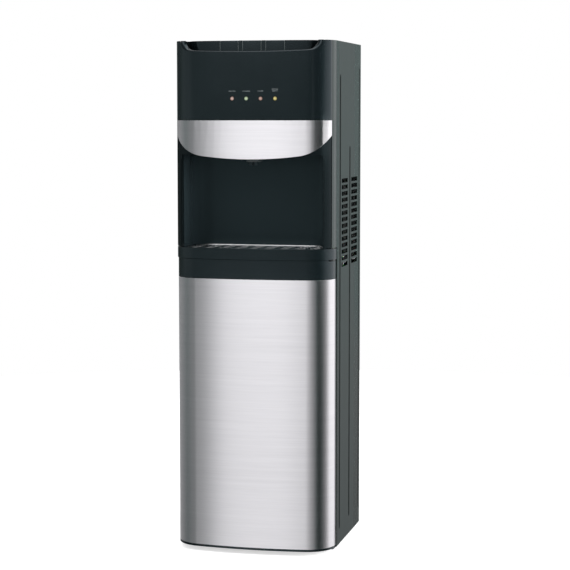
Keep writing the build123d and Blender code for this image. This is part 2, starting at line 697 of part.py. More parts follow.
def tank_cradle():
    """Folded steel plate that carries the cold tank across the side panels."""
    side = (-INNER_HALF, INNER_HALF)
    deep = (CRADLE_FRONT_Y, BACK_Y - SEAM)
    plate = slab(side, deep, (CRADLE_Z, CRADLE_Z + SHEET))
    flange_y = (CRADLE_FRONT_Y, CRADLE_FRONT_Y + SHEET)
    plate += slab(side, flange_y, (CRADLE_Z + SHEET - FLANGE, CRADLE_Z))
    tall = (CRADLE_Z - FLANGE, CRADLE_Z + FLANGE)
    plate -= post(PUMP_X, PUMP_Y, HOSE_RADIUS + SLIDE_GAP, tall)
    plate -= post(SUCTION_X, COMPRESSOR_Y, PIPE_RADIUS + SLIDE_GAP, tall)
    return plate


def alcove_liner():
    """Black moulded recess with its two pillars and the wall that backs the steel band."""
    face_z = (PILLAR_Z, BAND_TOP_Z - SEAM)
    front = wall(LINER_SETBACK, LINER_INSET, SIDE_FRONT_Y, face_z) & between(FRONT_HALF, face_z)
    front &= slab((-FAR, FAR), (-FAR, CORNER_Y), face_z)
    low_z = LINER_FLOOR_Z - LINER_WALL
    pocket = recess(LINER_WALL, (low_z, ALCOVE_TOP_Z + LINER_WALL))
    lower = column(FASCIA + SLIDE_GAP, BACK_Y, (low_z, PILLAR_Z))
    upper = column(LINER_SETBACK, BACK_Y, (PILLAR_Z, ALCOVE_TOP_Z + LINER_WALL))
    pocket &= lower + upper
    liner = front + pocket
    mouth = recess(0, (LINER_FLOOR_Z, BAND_TOP_Z)) & slab((-FAR, FAR), (-FAR, 0), (0, ALCOVE_TOP_Z))
    liner -= mouth
    band_cover = above_smile(
        BAND_BOTTOM_Z, BAND_FLAT_HALF, BAND_FLAT_RADIUS, BAND_END_RADIUS, FRONT_HALF, BAND_TOP_Z - SEAM
    )
    liner += wall(LINER_SETBACK, LINER_INSET, SIDE_FRONT_Y, face_z) & band_cover
    leg_y = (SHELF_FRONT_Y, ALCOVE_BACK_Y - ALCOVE_CORNER)
    for end in (-1, 1):
        x = sorted((end * ALCOVE_HALF, end * (ALCOVE_HALF + LINER_WALL)))
        liner += slab(x, leg_y, (SHELF_TOP_Z, LINER_FLOOR_Z))
        groove = sorted((end * (ALCOVE_HALF + PILLAR_GROOVE), end * (ALCOVE_HALF + 2 * PILLAR_GROOVE)))
        shallow = column(0, 0, face_z) - column(LINER_SETBACK + PILLAR_GROOVE / 2, 0, face_z)
        liner -= shallow & slab(groove, (-FAR, 0), (PILLAR_Z, BAND_BOTTOM_Z))
    for x, y in SPOUTS:
        liner -= post(x, y, SPOUT_RADIUS + PLUG_GAP, (NOZZLE_BOTTOM_Z, SPOUT_TOP_Z))
    return liner


def steel_band():
    """Brushed steel strip over the alcove, its lower edge sweeping up at the ends."""
    strip_z = (BAND_BOTTOM_Z - LIP, BAND_TOP_Z)
    strip = wall(0, BAND - PLUG_GAP, SIDE_FRONT_Y, strip_z)
    cover = above_smile(
        BAND_BOTTOM_Z, BAND_FLAT_HALF, BAND_FLAT_RADIUS, BAND_END_RADIUS, FRONT_HALF, BAND_TOP_Z
    )
    return strip & cover


def nozzle_block():
    """Black block under the alcove's ceiling that holds the spouts."""
    z = (NOZZLE_BOTTOM_Z, ALCOVE_TOP_Z)
    block = slab((-NOZZLE_WIDTH / 2, NOZZLE_WIDTH / 2), (NOZZLE_Y, NOZZLE_Y + NOZZLE_DEPTH), z)
    block = fillet(block.edges().filter_by(Axis.Z), NOZZLE_ROUND)
    for x, y in SPOUTS:
        block -= post(x, y, SPOUT_RADIUS + PLUG_GAP, z)
    return block


def spouts():
    """Three outlet tubes through the nozzle block and the ceiling."""
    z = (NOZZLE_BOTTOM_Z - SPOUT_DROP, SPOUT_TOP_Z)
    return [post(x, y, SPOUT_RADIUS, z) - post(x, y, SPOUT_BORE, z) for x, y in SPOUTS]


def top_hood():
    """Gloss hood: front wall, top deck, scooped lip, key trench, key guides and board bosses."""
    tall = (HOOD_Z, TOTAL_HEIGHT)
    deck_z = (DECK_Z, TOTAL_HEIGHT)
    tub_z = (KEY_FLOOR_Z - KEY_FLOOR, TOTAL_HEIGHT)
    trench_z = (KEY_FLOOR_Z, FAR + TOTAL_HEIGHT)
    hood = wall(0, HOOD_WALL, SIDE_FRONT_Y, tall)
    hood &= slab((-FRONT_HALF, FRONT_HALF), (-FAR, CORNER_Y), tall)
    deck = column(0, BACK_Y - SEAM, deck_z) & slab((-FRONT_HALF, FRONT_HALF), (-FAR, BACK_Y), deck_z)
    deck += column(SIDE_WALL + SEAM, SIDE_BACK_Y, deck_z)
    trench_back = KEY_BACK_Y - KEY_WALL * 2
    tub_back = KEY_BACK_Y + KEY_GAP + TRENCH_WALL
    tub_half = TRENCH_HALF + TRENCH_WALL
    tub = column(HOOD_WALL / 2, tub_back, tub_z) & slab((-tub_half, tub_half), (-FAR, tub_back), tub_z)
    inside_y = (-FAR, KEY_BACK_Y + KEY_GAP)
    inside = column(KEY_SETBACK + TRENCH_WALL, inside_y[1], (KEY_FLOOR_Z, DECK_Z))
    tub -= inside
    hood += deck + tub
    trench = column(LIP, trench_back, trench_z) - column(KEY_SETBACK, 0, trench_z)
    hood -= trench & between(TRENCH_HALF, trench_z)
    scoop = above_smile(
        SCOOP_Z, SCOOP_FLAT_HALF, SCOOP_FLAT_RADIUS, SCOOP_END_RADIUS, SCOOP_HALF, TOTAL_HEIGHT + LIP
    )
    hood -= scoop - column(LIP, 0, (0, 2 * TOTAL_HEIGHT))
    for x in KEYS_X:
        half = KEY_WIDTH / 2 + KEY_GAP
        slot = column(KEY_SETBACK - KEY_GAP, KEY_BACK_Y + KEY_GAP, trench_z)
        hood -= slot & slab((x - half, x + half), (-FAR, 0), trench_z)
        hood += post(x, STEM_Y, STEM_RADIUS + KEY_GAP + GUIDE_WALL, (GUIDE_Z, KEY_FLOOR_Z))
        hood -= post(x, STEM_Y, STEM_RADIUS + KEY_GAP, (GUIDE_Z, KEY_FLOOR_Z))
    for x in LAMPS_X:
        hood -= bar(x, LAMP_Z, LAMP_RADIUS + PLUG_GAP, (FRONT_Y - LIP, BOARD_Y))
    for x in (-BOARD_BOSS_X, BOARD_BOSS_X):
        for z in (-BOARD_BOSS_Z, BOARD_BOSS_Z):
            root = crown_y(LAMP_ROW_X + x, HOOD_WALL / 2)
            hood += bar(LAMP_ROW_X + x, LAMP_Z + z, BOARD_BOSS_RADIUS, (root, BOARD_Y))
    return hood


def push_key(x):
    """Hollow piano-style key with a rounded top, a guide stem and its front in line with the trench."""
    half = KEY_WIDTH / 2
    z = (KEY_BOTTOM_Z, KEY_TOP_Z)
    key = column(KEY_SETBACK, KEY_BACK_Y, z) & slab((x - half, x + half), (-FAR, 0), z)
    key = fillet(key.edges().group_by(Axis.Z)[-1], KEY_ROUND)
    core_z = (KEY_BOTTOM_Z, KEY_TOP_Z - KEY_WALL)
    core = column(KEY_SETBACK + KEY_WALL, KEY_BACK_Y - KEY_WALL, core_z)
    key -= core & slab((x - half + KEY_WALL, x + half - KEY_WALL), (-FAR, 0), core_z)
    return key + post(x, STEM_Y, STEM_RADIUS, (STEM_END_Z, KEY_TOP_Z - KEY_WALL))


def key_spring(x):
    """Return spring wound round a key's stem."""
    low = KEY_FLOOR_Z + SPRING_WIRE + PLUG_GAP
    high = KEY_TOP_Z - KEY_WALL - SPRING_WIRE - PLUG_GAP
    pitch = (high - low) / SPRING_TURNS
    return winding((x, STEM_Y), SPRING_RADIUS, pitch, SPRING_TURNS, low, SPRING_WIRE)


def key_switches():
    """Microswitch under each key's guide."""
    width, depth, height = SWITCH_SIZE
    blocks = []
    for x in KEYS_X:
        y = (STEM_Y - depth / 2, STEM_Y + depth / 2)
        block = slab((x - width / 2, x + width / 2), y, (GUIDE_Z - height, GUIDE_Z))
        blocks.append(chamfer(block.edges().filter_by(Axis.Y), height / 10))
    return blocks


def indicator_lamp(x):
    """Round lens, flush with the hood, with a flange that sits against the board."""
    lens = bar(x, LAMP_Z, LAMP_RADIUS, (crown_y(x, 0), BOARD_Y))
    lens = fillet(lens.edges().sort_by(Axis.Y)[0], LAMP_ROUND)
    return lens + bar(x, LAMP_Z, LAMP_RADIUS + LAMP_FLANGE, (BOARD_Y - LAMP_FLANGE, BOARD_Y))


def control_board():
    """Circuit board behind the lamps, with its relays and connectors."""
    width, thickness, height = BOARD_SIZE
    x = (LAMP_ROW_X - width / 2, LAMP_ROW_X + width / 2)
    z = (LAMP_Z - height / 2, LAMP_Z + height / 2)
    board = slab(x, (BOARD_Y, BOARD_Y + thickness), z)
    relay = height / 3
    for step in (-1, 0, 1):
        middle = LAMP_ROW_X + step * width / 4
        relay_x = (middle - relay / 2, middle + relay / 2)
        board += slab(relay_x, (BOARD_Y, BOARD_Y + thickness + relay), (LAMP_Z, LAMP_Z + relay))
    socket_x = (LAMP_ROW_X - width / 4, LAMP_ROW_X + width / 4)
    board += slab(socket_x, (BOARD_Y, BOARD_Y + thickness + relay / 2), (z[0], z[0] + relay / 2))
    return board


# Cold and hot water


def cold_tank():
    """Open stainless tank."""
    tank = post(0, TANK_Y, TANK_RADIUS, (TANK_FLOOR_Z, FOAM_TOP_Z))
    return tank - post(0, TANK_Y, TANK_RADIUS - TANK_WALL, (TANK_FLOOR_Z + TANK_WALL, FOAM_TOP_Z))


def evaporator_coil():
    """Copper tube wound round the cold tank."""
    start = TANK_FLOOR_Z + COIL_START
    return winding((0, TANK_Y), COIL_RADIUS, COIL_PITCH, COIL_TURNS, start, COIL_WIRE)


def cold_tank_foam():
    """Foam jacket and its lid."""
    jacket = post(0, TANK_Y, FOAM_RADIUS, (FOAM_BOTTOM_Z, FOAM_TOP_Z))
    jacket -= post(0, TANK_Y, FOAM_BORE, (TANK_FLOOR_Z, FOAM_TOP_Z))
    lid = post(0, TANK_Y, FOAM_RADIUS, (FOAM_TOP_Z, FOAM_TOP_Z + LID_HEIGHT))
    lid = chamfer(lid.edges().group_by(Axis.Z)[-1], LID_HEIGHT / 4)
    return [jacket, lid]


def hot_tank():
    """Round-ended stainless tank with an outlet nipple on top."""
    body = post(HOT_X, HOT_Y, HOT_RADIUS, (HOT_Z, HOT_Z + HOT_HEIGHT))
    body = fillet(body.edges().filter_by(GeomType.CIRCLE), HOT_ROUND)
    top = HOT_Z + HOT_HEIGHT
    return body + post(HOT_X, HOT_Y, HOSE_RADIUS, (top - HOT_NIPPLE, top + HOT_NIPPLE))


def hot_tank_stand():
    """Ring under the hot tank with a flange on the shelf."""
    z = (SHELF_TOP_Z, HOT_Z)
    bore = HOT_STAND_RADIUS - HOT_ROUND / 2
    ring = post(HOT_X, HOT_Y, HOT_STAND_RADIUS - HOT_ROUND / 4, z)
    ring += post(HOT_X, HOT_Y, HOT_STAND_RADIUS + HOT_ROUND / 2, (SHELF_TOP_Z, SHELF_TOP_Z + SHEET))
    return ring - post(HOT_X, HOT_Y, bore, z)


def heater_band():
    """Clamp-on heater round the hot tank, with its clamp lug."""
    z = (HEATER_Z, HEATER_Z + HEATER_HEIGHT)
    outer = HOT_RADIUS + PLUG_GAP + HEATER_WALL
    band = post(HOT_X, HOT_Y, outer, z)
    lug_y = (HOT_Y - outer - HEATER_WALL * 2, HOT_Y - HOT_RADIUS)
    band += slab((HOT_X - HEATER_WALL * 2, HOT_X + HEATER_WALL * 2), lug_y, z)
    band -= post(HOT_X, HOT_Y, HOT_RADIUS + PLUG_GAP, z)
    return band - slab((HOT_X - HEATER_WALL / 2, HOT_X + HEATER_WALL / 2), (-FAR, HOT_Y), z)


def drain_spout():
    """Drain tube from the hot tank out through the back, with its flange."""
    start = HOT_Y + math.sqrt(HOT_RADIUS**2 - DRAIN_RADIUS**2)
    tank = post(HOT_X, HOT_Y, HOT_RADIUS + PLUG_GAP, (HOT_Z, HOT_Z + HOT_HEIGHT))
    pipe = bar(HOT_X, DRAIN_Z, DRAIN_RADIUS, (start, BACK_FACE_Y + DRAIN_REACH)) - tank
    flange_y = (BACK_FACE_Y, BACK_FACE_Y + FRAME_THICKNESS)
    pipe += bar(HOT_X, DRAIN_Z, DRAIN_FLANGE, flange_y)
    return pipe - bar(HOT_X, DRAIN_Z, DRAIN_BORE, (start, BACK_FACE_Y + DRAIN_REACH))


def drain_cap():
    """Cap over the end of the drain tube."""
    mouth = BACK_FACE_Y + FRAME_THICKNESS + SLIDE_GAP
    seat = BACK_FACE_Y + DRAIN_REACH + SLIDE_GAP
    cap = bar(HOT_X, DRAIN_Z, DRAIN_RADIUS + CAP_WALL, (mouth, seat + CAP_WALL))
    cap = chamfer(cap.edges().sort_by(Axis.Y)[-1], CAP_WALL / 3)
    return cap - bar(HOT_X, DRAIN_Z, DRAIN_RADIUS + PLUG_GAP, (mouth, seat))


def bottle_pump():
    """Small pump with a rounded head and a motor can, standing on the shelf."""
    x = (PUMP_X - PUMP_WIDTH / 2, PUMP_X + PUMP_WIDTH / 2)
    y = (PUMP_Y - PUMP_DEPTH / 2, PUMP_Y + PUMP_DEPTH / 2)
    head = slab(x, y, (SHELF_TOP_Z, SHELF_TOP_Z + PUMP_HEIGHT))
    head = fillet(head.edges().filter_by(Axis.Z), HOSE_RADIUS)
    return head + post(PUMP_X, PUMP_Y, MOTOR_RADIUS, (SHELF_TOP_Z + PUMP_HEIGHT, PUMP_TOP_Z))


def pump_hoses():
    """Hose from the bottle probe up through the shelf to the pump, and one on up to the cold tank."""
    points = [
        (PROBE_X, PROBE_Y, PROBE_NIPPLE_Z),
        (PROBE_X, PROBE_Y, PUMP_INLET_Z),
        (PUMP_X + PUMP_WIDTH / 2, PROBE_Y, PUMP_INLET_Z),
    ]
    supply = tube(points, PUMP_HEIGHT / 2 - SLIDE_GAP, HOSE_RADIUS)
    z = (PUMP_TOP_Z, FOAM_BOTTOM_Z - PLUG_GAP)
    riser = post(PUMP_X, PUMP_Y, HOSE_RADIUS, z) - post(PUMP_X, PUMP_Y, HOSE_RADIUS - HOSE_WALL, z)
    return [supply, riser]


def spout_hoses():
    """Three hoses from the spouts back to the cold tank and up to the hot tank's outlet."""
    hoses = []
    for (x, y), lift in zip(SPOUTS[:2], COLD_HOSE_LIFTS):
        level = SPOUT_TOP_Z + lift
        foam_y = TANK_Y - math.sqrt(FOAM_RADIUS**2 - (abs(x) + SPOUT_RADIUS) ** 2) - SLIDE_GAP
        points = [(x, y, SPOUT_TOP_Z), (x, y, level), (x, foam_y, level)]
        hoses.append(tube(points, COLD_HOSE_BEND, SPOUT_RADIUS))
    x, y = SPOUTS[2]
    outlet_z = HOT_Z + HOT_HEIGHT + HOT_NIPPLE
    gap_y = (ALCOVE_BACK_Y + LINER_WALL + CRADLE_FRONT_Y) / 2
    level = SPOUT_TOP_Z + HOT_HOSE_LIFT
    drop_x = FOAM_RADIUS + 4 * SPOUT_RADIUS
    points = [
        (x, y, SPOUT_TOP_Z),
        (x, y, level),
        (drop_x, gap_y, level),
        (drop_x, gap_y, outlet_z + HOT_HOSE_LIFT),
        (HOT_X, HOT_Y, outlet_z + HOT_HOSE_LIFT),
        (HOT_X, HOT_Y, outlet_z),
    ]
    hoses.append(tube(points, HOT_HOSE_BEND, SPOUT_RADIUS))
    return hoses


# Cooling circuit


def compressor():
    """Hermetic compressor: domed can with a seam, mounting plate and terminal box."""
    low = COMPRESSOR_Z + COMPRESSOR_PLATE
    can = post(COMPRESSOR_X, COMPRESSOR_Y, COMPRESSOR_RADIUS, (low, low + COMPRESSOR_HEIGHT))
    can = fillet(can.edges().group_by(Axis.Z)[-1], COMPRESSOR_DOME)
    seam_z = (low + COMPRESSOR_SEAM_HEIGHT, low + COMPRESSOR_SEAM_HEIGHT + COMPRESSOR_PLATE)
    can += post(COMPRESSOR_X, COMPRESSOR_Y, COMPRESSOR_RADIUS + COMPRESSOR_PLATE / 2, seam_z)
    plate_x = GROMMET_X + GROMMET_RADIUS
    plate_y = GROMMET_Y + GROMMET_RADIUS
    plate = slab((-plate_x, plate_x), (-plate_y, plate_y), (COMPRESSOR_Z, low))
    plate = fillet(plate.edges().filter_by(Axis.Z), GROMMET_RADIUS)
    can += Pos(COMPRESSOR_X, COMPRESSOR_Y, 0) * plate
    box_x = (COMPRESSOR_X, COMPRESSOR_X + COMPRESSOR_RADIUS + TERMINAL_BOX)
    box_z = (seam_z[0] - 2 * TERMINAL_BOX, seam_z[0] - TERMINAL_BOX / 2)
    box = slab(box_x, (COMPRESSOR_Y - TERMINAL_BOX, COMPRESSOR_Y + TERMINAL_BOX), box_z)
    return can + box


def compressor_grommets():
    """Four rubber bushes between the compressor's plate and the shelf."""
    bushes = []
    for x in (-GROMMET_X, GROMMET_X):
        for y in (-GROMMET_Y, GROMMET_Y):
            bush = post(COMPRESSOR_X + x, COMPRESSOR_Y + y, GROMMET_RADIUS, (SHELF_TOP_Z, COMPRESSOR_Z))
            bushes.append(chamfer(bush.edges().filter_by(GeomType.CIRCLE), GROMMET_HEIGHT / 8))
    return bushes


def refrigerant_pipes():
    """Discharge pipe to the condenser, suction pipe from the tank and the thin capillary."""
    inside = COMPRESSOR_Y + math.sqrt(COMPRESSOR_RADIUS**2 - (DISCHARGE_X - COMPRESSOR_X) ** 2)
    discharge = tube(
        [
            (DISCHARGE_X, inside - PIPE_RADIUS, DISCHARGE_Z),
            (DISCHARGE_X, CONDENSER_Y, DISCHARGE_Z),
            (DISCHARGE_X, CONDENSER_Y, CONDENSER_TOP_Z),
            (-CONDENSER_HALF, CONDENSER_Y, CONDENSER_TOP_Z),
        ],
        PIPE_BEND,
        PIPE_RADIUS,
    )
    top = COMPRESSOR_Z + COMPRESSOR_PLATE + COMPRESSOR_HEIGHT
    suction = post(SUCTION_X, COMPRESSOR_Y, PIPE_RADIUS, (top, FOAM_BOTTOM_Z - PLUG_GAP))
    capillary = tube(
        [
            (-CONDENSER_HALF, CONDENSER_Y, CONDENSER_BOTTOM_Z),
            (CAPILLARY_X, CONDENSER_Y, CONDENSER_BOTTOM_Z),
            (CAPILLARY_X, CONDENSER_Y, CAPILLARY_Z),
            (CAPILLARY_X, BACK_Y - BACK_INSET, CAPILLARY_Z),
        ],
        PIPE_BEND,
        CAPILLARY_RADIUS,
    )
    return [discharge, suction, capillary]


def condenser_tube():
    """Serpentine tube down the back of the cabinet."""
    edges = []
    side = 1
    bend = CONDENSER_PITCH / 2
    for run in range(CONDENSER_RUNS):
        z = CONDENSER_TOP_Z - CONDENSER_PITCH * run
        last = run == CONDENSER_RUNS - 1
        end = -CONDENSER_HALF + DRIER_LENGTH if last else side * CONDENSER_HALF
        edges.append(Edge.make_line((-side * CONDENSER_HALF, CONDENSER_Y, z), (end, CONDENSER_Y, z)))
        if not last:
            crest = (end + side * bend, CONDENSER_Y, z - bend)
            foot = (end, CONDENSER_Y, z - CONDENSER_PITCH)
            edges.append(Edge.make_three_point_arc((end, CONDENSER_Y, z), crest, foot))
        side = -side
    section = Plane(origin=edges[0] @ 0, z_dir=edges[0] % 0) * Circle(CONDENSER_TUBE)
    return sweep(section, path=Wire(edges))


def condenser_wires():
    """Upright cooling wires welded to both sides of the serpentine."""
    offset = CONDENSER_TUBE + WIRE_RADIUS - WIRE_WELD
    low = CONDENSER_BOTTOM_Z + CONDENSER_PITCH - WIRE_MARGIN
    high = CONDENSER_TOP_Z + WIRE_MARGIN
    wires = []
    for step in range(-WIRES_EACH_SIDE, WIRES_EACH_SIDE + 1):
        x = step * WIRE_PITCH
        for y in (CONDENSER_Y - offset, CONDENSER_Y + offset):
            wires.append(post(x, y, WIRE_RADIUS, (low, high)))
    return wires


def condenser_clips():
    """Four clips that hold the serpentine off the back panel."""
    clips = []
    for x in (-BRACKET_X, BRACKET_X):
        for run in (1, CONDENSER_RUNS - 3):
            z = CONDENSER_TOP_Z - CONDENSER_PITCH * run
            reach = CONDENSER_Y + CONDENSER_TUBE + WIRE_RADIUS
            clip = slab(
                (x - BRACKET_WIDTH / 2, x + BRACKET_WIDTH / 2),
                (BACK_FACE_Y, reach),
                (z - BRACKET_HEIGHT / 2, z + BRACKET_HEIGHT / 2),
            )
            clip = fillet(clip.edges().filter_by(Axis.X).group_by(Axis.Y)[-1], WIRE_RADIUS * 2)
            clip -= Pos(x, CONDENSER_Y, z) * Rot(0, 90, 0) * Cylinder(
                CONDENSER_TUBE + PLUG_GAP, 2 * BRACKET_WIDTH
            )
            clips.append(clip)
    return clips


def filter_drier():
    """Copper drier at the outlet of the serpentine, necked at both ends."""
    neck = CONDENSER_TUBE + PLUG_GAP
    taper = 2 * DRIER_RADIUS
    profile = Polyline(
        (0, 0),
        (0, neck),
        (taper, DRIER_RADIUS),
        (DRIER_LENGTH - taper, DRIER_RADIUS),
        (DRIER_LENGTH, neck),
        (DRIER_LENGTH, 0),
        close=True,
    )
    drier = revolve(make_face(profile), Axis.X)
    return Pos(-CONDENSER_HALF, CONDENSER_Y, CONDENSER_BOTTOM_Z) * drier


# Rear switches and gland


def switch_frames():
    """Frames of the two rear switches, clipped into the back panel."""
    frames = []
    for x in SWITCH_X:
        body_x = ROCKER_WIDTH / 2 + FRAME_BORDER / 2
        body_z = ROCKER_HALF + FRAME_BORDER
        body = slab(
            (x - body_x, x + body_x),
            (BACK_FACE_Y - FRAME_DEPTH, BACK_FACE_Y),
            (SWITCH_Z - body_z, SWITCH_Z + body_z),
        )
        flange = slab(
            (x - body_x - FRAME_BORDER, x + body_x + FRAME_BORDER),
            (BACK_FACE_Y, BACK_FACE_Y + FRAME_THICKNESS),
            (SWITCH_Z - body_z - FRAME_BORDER, SWITCH_Z + body_z + FRAME_BORDER),
        )
        opening_x = ROCKER_WIDTH / 2 + KEY_GAP
        opening_z = ROCKER_HALF + FRAME_BORDER / 2
        opening = slab(
            (x - opening_x, x + opening_x),
            (BACK_FACE_Y - FRAME_DEPTH + FRAME_BORDER, BACK_FACE_Y + FRAME_DEPTH),
            (SWITCH_Z - opening_z, SWITCH_Z + opening_z),
        )
        frames.append(body + flange - opening)
    return frames


def rocker(x):
    """Rocker paddle, resting tipped to its off side."""
    profile = Polyline(
        (-ROCKER_HALF, ROCKER_CREST),
        (0, ROCKER_CREST - ROCKER_DIP),
        (ROCKER_HALF, ROCKER_CREST),
        (ROCKER_HALF, ROCKER_CREST / 3),
        (ROCKER_HALF / 2, -ROCKER_CREST),
        (-ROCKER_HALF / 2, -ROCKER_CREST),
        (-ROCKER_HALF, ROCKER_CREST / 3),
        close=True,
    )
    outward = Plane(origin=(0, 0, 0), x_dir=(0, 0, -1), z_dir=(1, 0, 0))
    paddle = extrude(outward * make_face(profile), amount=ROCKER_WIDTH / 2, both=True)
    return Pos(x, ROCKER_PIVOT_Y, SWITCH_Z) * Rot(-ROCKER_TILT, 0, 0) * paddle


def cord_gland():
    """Bush in the back panel where the mains lead enters."""
    inner = BACK_FACE_Y - GLAND_LENGTH
    bush = bar(GLAND_X, GLAND_Z, GLAND_RADIUS, (inner, BACK_FACE_Y))
    bush += bar(GLAND_X, GLAND_Z, GLAND_FLANGE, (BACK_FACE_Y, BACK_FACE_Y + FRAME_THICKNESS))
    return bush - bar(GLAND_X, GLAND_Z, GLAND_BORE, (inner, BACK_FACE_Y + FRAME_THICKNESS))


# Bottle bay


def probe_holder():
    """Shelf on the back panel with a hole that the probe hangs in."""
    right = HALF_WIDTH - SIDE_WALL - 2 * BACK_INSET - SEAM
    x = (PROBE_X - PROBE_CAP_RADIUS - HOLDER_MARGIN, right)
    y = (PROBE_Y - PROBE_CAP_RADIUS - HOLDER_MARGIN, BACK_Y - SEAM)
    top = PROBE_CAP_Z - SEAM
    plate = slab(x, y, (top - HOLDER, top))
    plate += slab(x, (y[1] - HOLDER, y[1]), (top - 3 * HOLDER, top))
    return plate - post(PROBE_X, PROBE_Y, PROBE_TUBE + SLIDE_GAP, (top - FLANGE, top))


def probe_cap():
    """Screw cap of the bottle probe with a ribbed skirt and a hose nipple."""
    cap = post(PROBE_X, PROBE_Y, PROBE_CAP_RADIUS, (PROBE_CAP_Z, PROBE_CAP_TOP_Z))
    cap = fillet(cap.edges().group_by(Axis.Z)[-1], PROBE_CAP_HEIGHT / 5)
    flutes = PolarLocations(PROBE_CAP_RADIUS + FLUTE / 2, FLUTE_COUNT)
    groove_z = (PROBE_CAP_Z, PROBE_CAP_TOP_Z - PROBE_CAP_HEIGHT / 4)
    groove = post(0, 0, FLUTE, groove_z)
    cap -= [Pos(PROBE_X, PROBE_Y, 0) * place * groove for place in flutes]
    cap += post(PROBE_X, PROBE_Y, HOSE_RADIUS, (PROBE_CAP_TOP_Z - HOLDER, PROBE_NIPPLE_Z))
    bore_z = (PROBE_CAP_Z, PROBE_CAP_TOP_Z - HOLDER)
    return cap - post(PROBE_X, PROBE_Y, PROBE_TUBE + PLUG_GAP, bore_z)


def probe_tube():
    """Dip tube that reaches the bottom of a bottle, cut slantwise at its tip."""
    z = (PROBE_TIP_Z, PROBE_CAP_TOP_Z - HOLDER)
    pipe = post(PROBE_X, PROBE_Y, PROBE_TUBE, z) - post(PROBE_X, PROBE_Y, PROBE_TUBE - PROBE_TUBE_WALL, z)
    slant = Pos(PROBE_X, PROBE_Y, PROBE_TIP_Z) * Rot(0, PROBE_SLANT, 0)
    size = 6 * PROBE_TUBE
    return pipe - slant * Pos(0, 0, -size / 2) * Box(size, size, size)


# Door


def door_half_wall(outer, z):
    """The door's curved wall from an inset to its inner face."""
    return wall(outer, DOOR_BACK, CORNER_Y, z)


def edge_pull():
    """Finger pull cut into the free edge of the door."""
    x = (-HALF_WIDTH, -HALF_WIDTH + DOOR_INSET + PULL_DEPTH)
    return slab(x, (CORNER_Y - PULL_REACH, FAR), PULL_Z)


def door_skin():
    """Brushed steel face of the door."""
    skin = wall(DOOR_INSET, DOOR_INSET + SKIN, CORNER_Y, (SKIN_BOTTOM_Z, SKIN_TOP_Z - SEAM))
    return skin - edge_pull()


def door_core():
    """Moulded door body behind the skin, with a sunk field on its inside: a lower panel, a grip section
    that ends short at the finger pull, the plate at the back of the pull, and the rail above."""
    core = door_half_wall(CORE_INSET, (BOTTOM_CAP_TOP_Z, SKIN_TOP_Z - SEAM))
    field_z = (BOTTOM_CAP_TOP_Z + FIELD_MARGIN, RAIL_Z - FIELD_MARGIN)
    field = wall(DOOR_BACK - FIELD_DEPTH, DOOR_BACK + FIELD_DEPTH, CORNER_Y, field_z)
    core -= field & between(FIELD_HALF, field_z)
    section_z = (PULL_Z[0], PULL_Z[1] - SEAM)
    free_edge = slab((-HALF_WIDTH, 0), (CORNER_Y - PULL_REACH, FAR), section_z)
    grip = (core & slab((-FAR, FAR), (-FAR, FAR), section_z)) - free_edge
    beside_pull = slab((-HALF_WIDTH, 0), (-FAR, CORNER_Y - PULL_REACH + SEAM), section_z)
    plate = (core & free_edge) - edge_pull() - beside_pull
    panel = core & slab((-FAR, FAR), (-FAR, FAR), (BOTTOM_CAP_TOP_Z, PULL_Z[0] - SEAM))
    rail = core & slab((-FAR, FAR), (-FAR, FAR), (RAIL_Z, SKIN_TOP_Z))
    return [panel, grip, plate, rail]


def door_top_cap():
    """Black cap on top of the door, bored for the upper hinge bush, with a lip up to the tray."""
    cap = door_half_wall(DOOR_INSET, (SKIN_TOP_Z, DOOR_TOP_Z))
    lip_z = (DOOR_TOP_Z - SEAM, TRAY_BOTTOM_Z - SLIDE_GAP)
    lip = wall(DOOR_INSET, DOOR_INSET + SKIN, CORNER_Y, lip_z)
    cap += lip - slab((0, FAR), (HINGE_Y - 2 * HINGE_PLATE_WIDTH, FAR), lip_z)
    bore = (DOOR_TOP_Z - PIN_REACH - BUSH_WALL, DOOR_TOP_Z)
    return cap - post(HINGE_X, HINGE_Y, PIN_RADIUS + BUSH_WALL + RUNNING_GAP, bore)


def door_bottom_cap():
    """Black cap under the door that plugs into the skin, bored for the lower hinge bush."""
    cap = door_half_wall(DOOR_INSET, (DOOR_BOTTOM_Z, SKIN_BOTTOM_Z - SEAM))
    cap += door_half_wall(CORE_INSET, (DOOR_BOTTOM_Z, BOTTOM_CAP_TOP_Z - SEAM))
    bore = (DOOR_BOTTOM_Z, DOOR_BOTTOM_Z + PIN_REACH + BUSH_WALL)
    return cap - post(HINGE_X, HINGE_Y, PIN_RADIUS + BUSH_WALL + RUNNING_GAP, bore)


def hinge_bushes():
    """Plain bushes in the door's two caps."""
    bushes = []
    low = (DOOR_BOTTOM_Z, DOOR_BOTTOM_Z + PIN_REACH + BUSH_WALL)
    high = (DOOR_TOP_Z - PIN_REACH - BUSH_WALL, DOOR_TOP_Z)
    for z in (low, high):
        bush = post(HINGE_X, HINGE_Y, PIN_RADIUS + BUSH_WALL, z)
        bushes.append(bush - post(HINGE_X, HINGE_Y, PIN_RADIUS + RUNNING_GAP, z))
    return bushes


def lower_hinge():
    """Plate under the base with the lower hinge pin."""
    x = (HINGE_X - HINGE_PLATE_WIDTH, INNER_HALF)
    z = (FOOT_HEIGHT - HINGE_PLATE, FOOT_HEIGHT)
    plate = slab(x, (HINGE_Y - HINGE_PLATE_WIDTH / 2, HINGE_Y + HINGE_PLATE_LENGTH), z)
    plate = fillet(plate.edges().filter_by(Axis.Z).group_by(Axis.Y)[0], HINGE_PLATE_WIDTH / 3)
    return plate + post(HINGE_X, HINGE_Y, PIN_RADIUS, (z[0], DOOR_BOTTOM_Z + PIN_REACH))


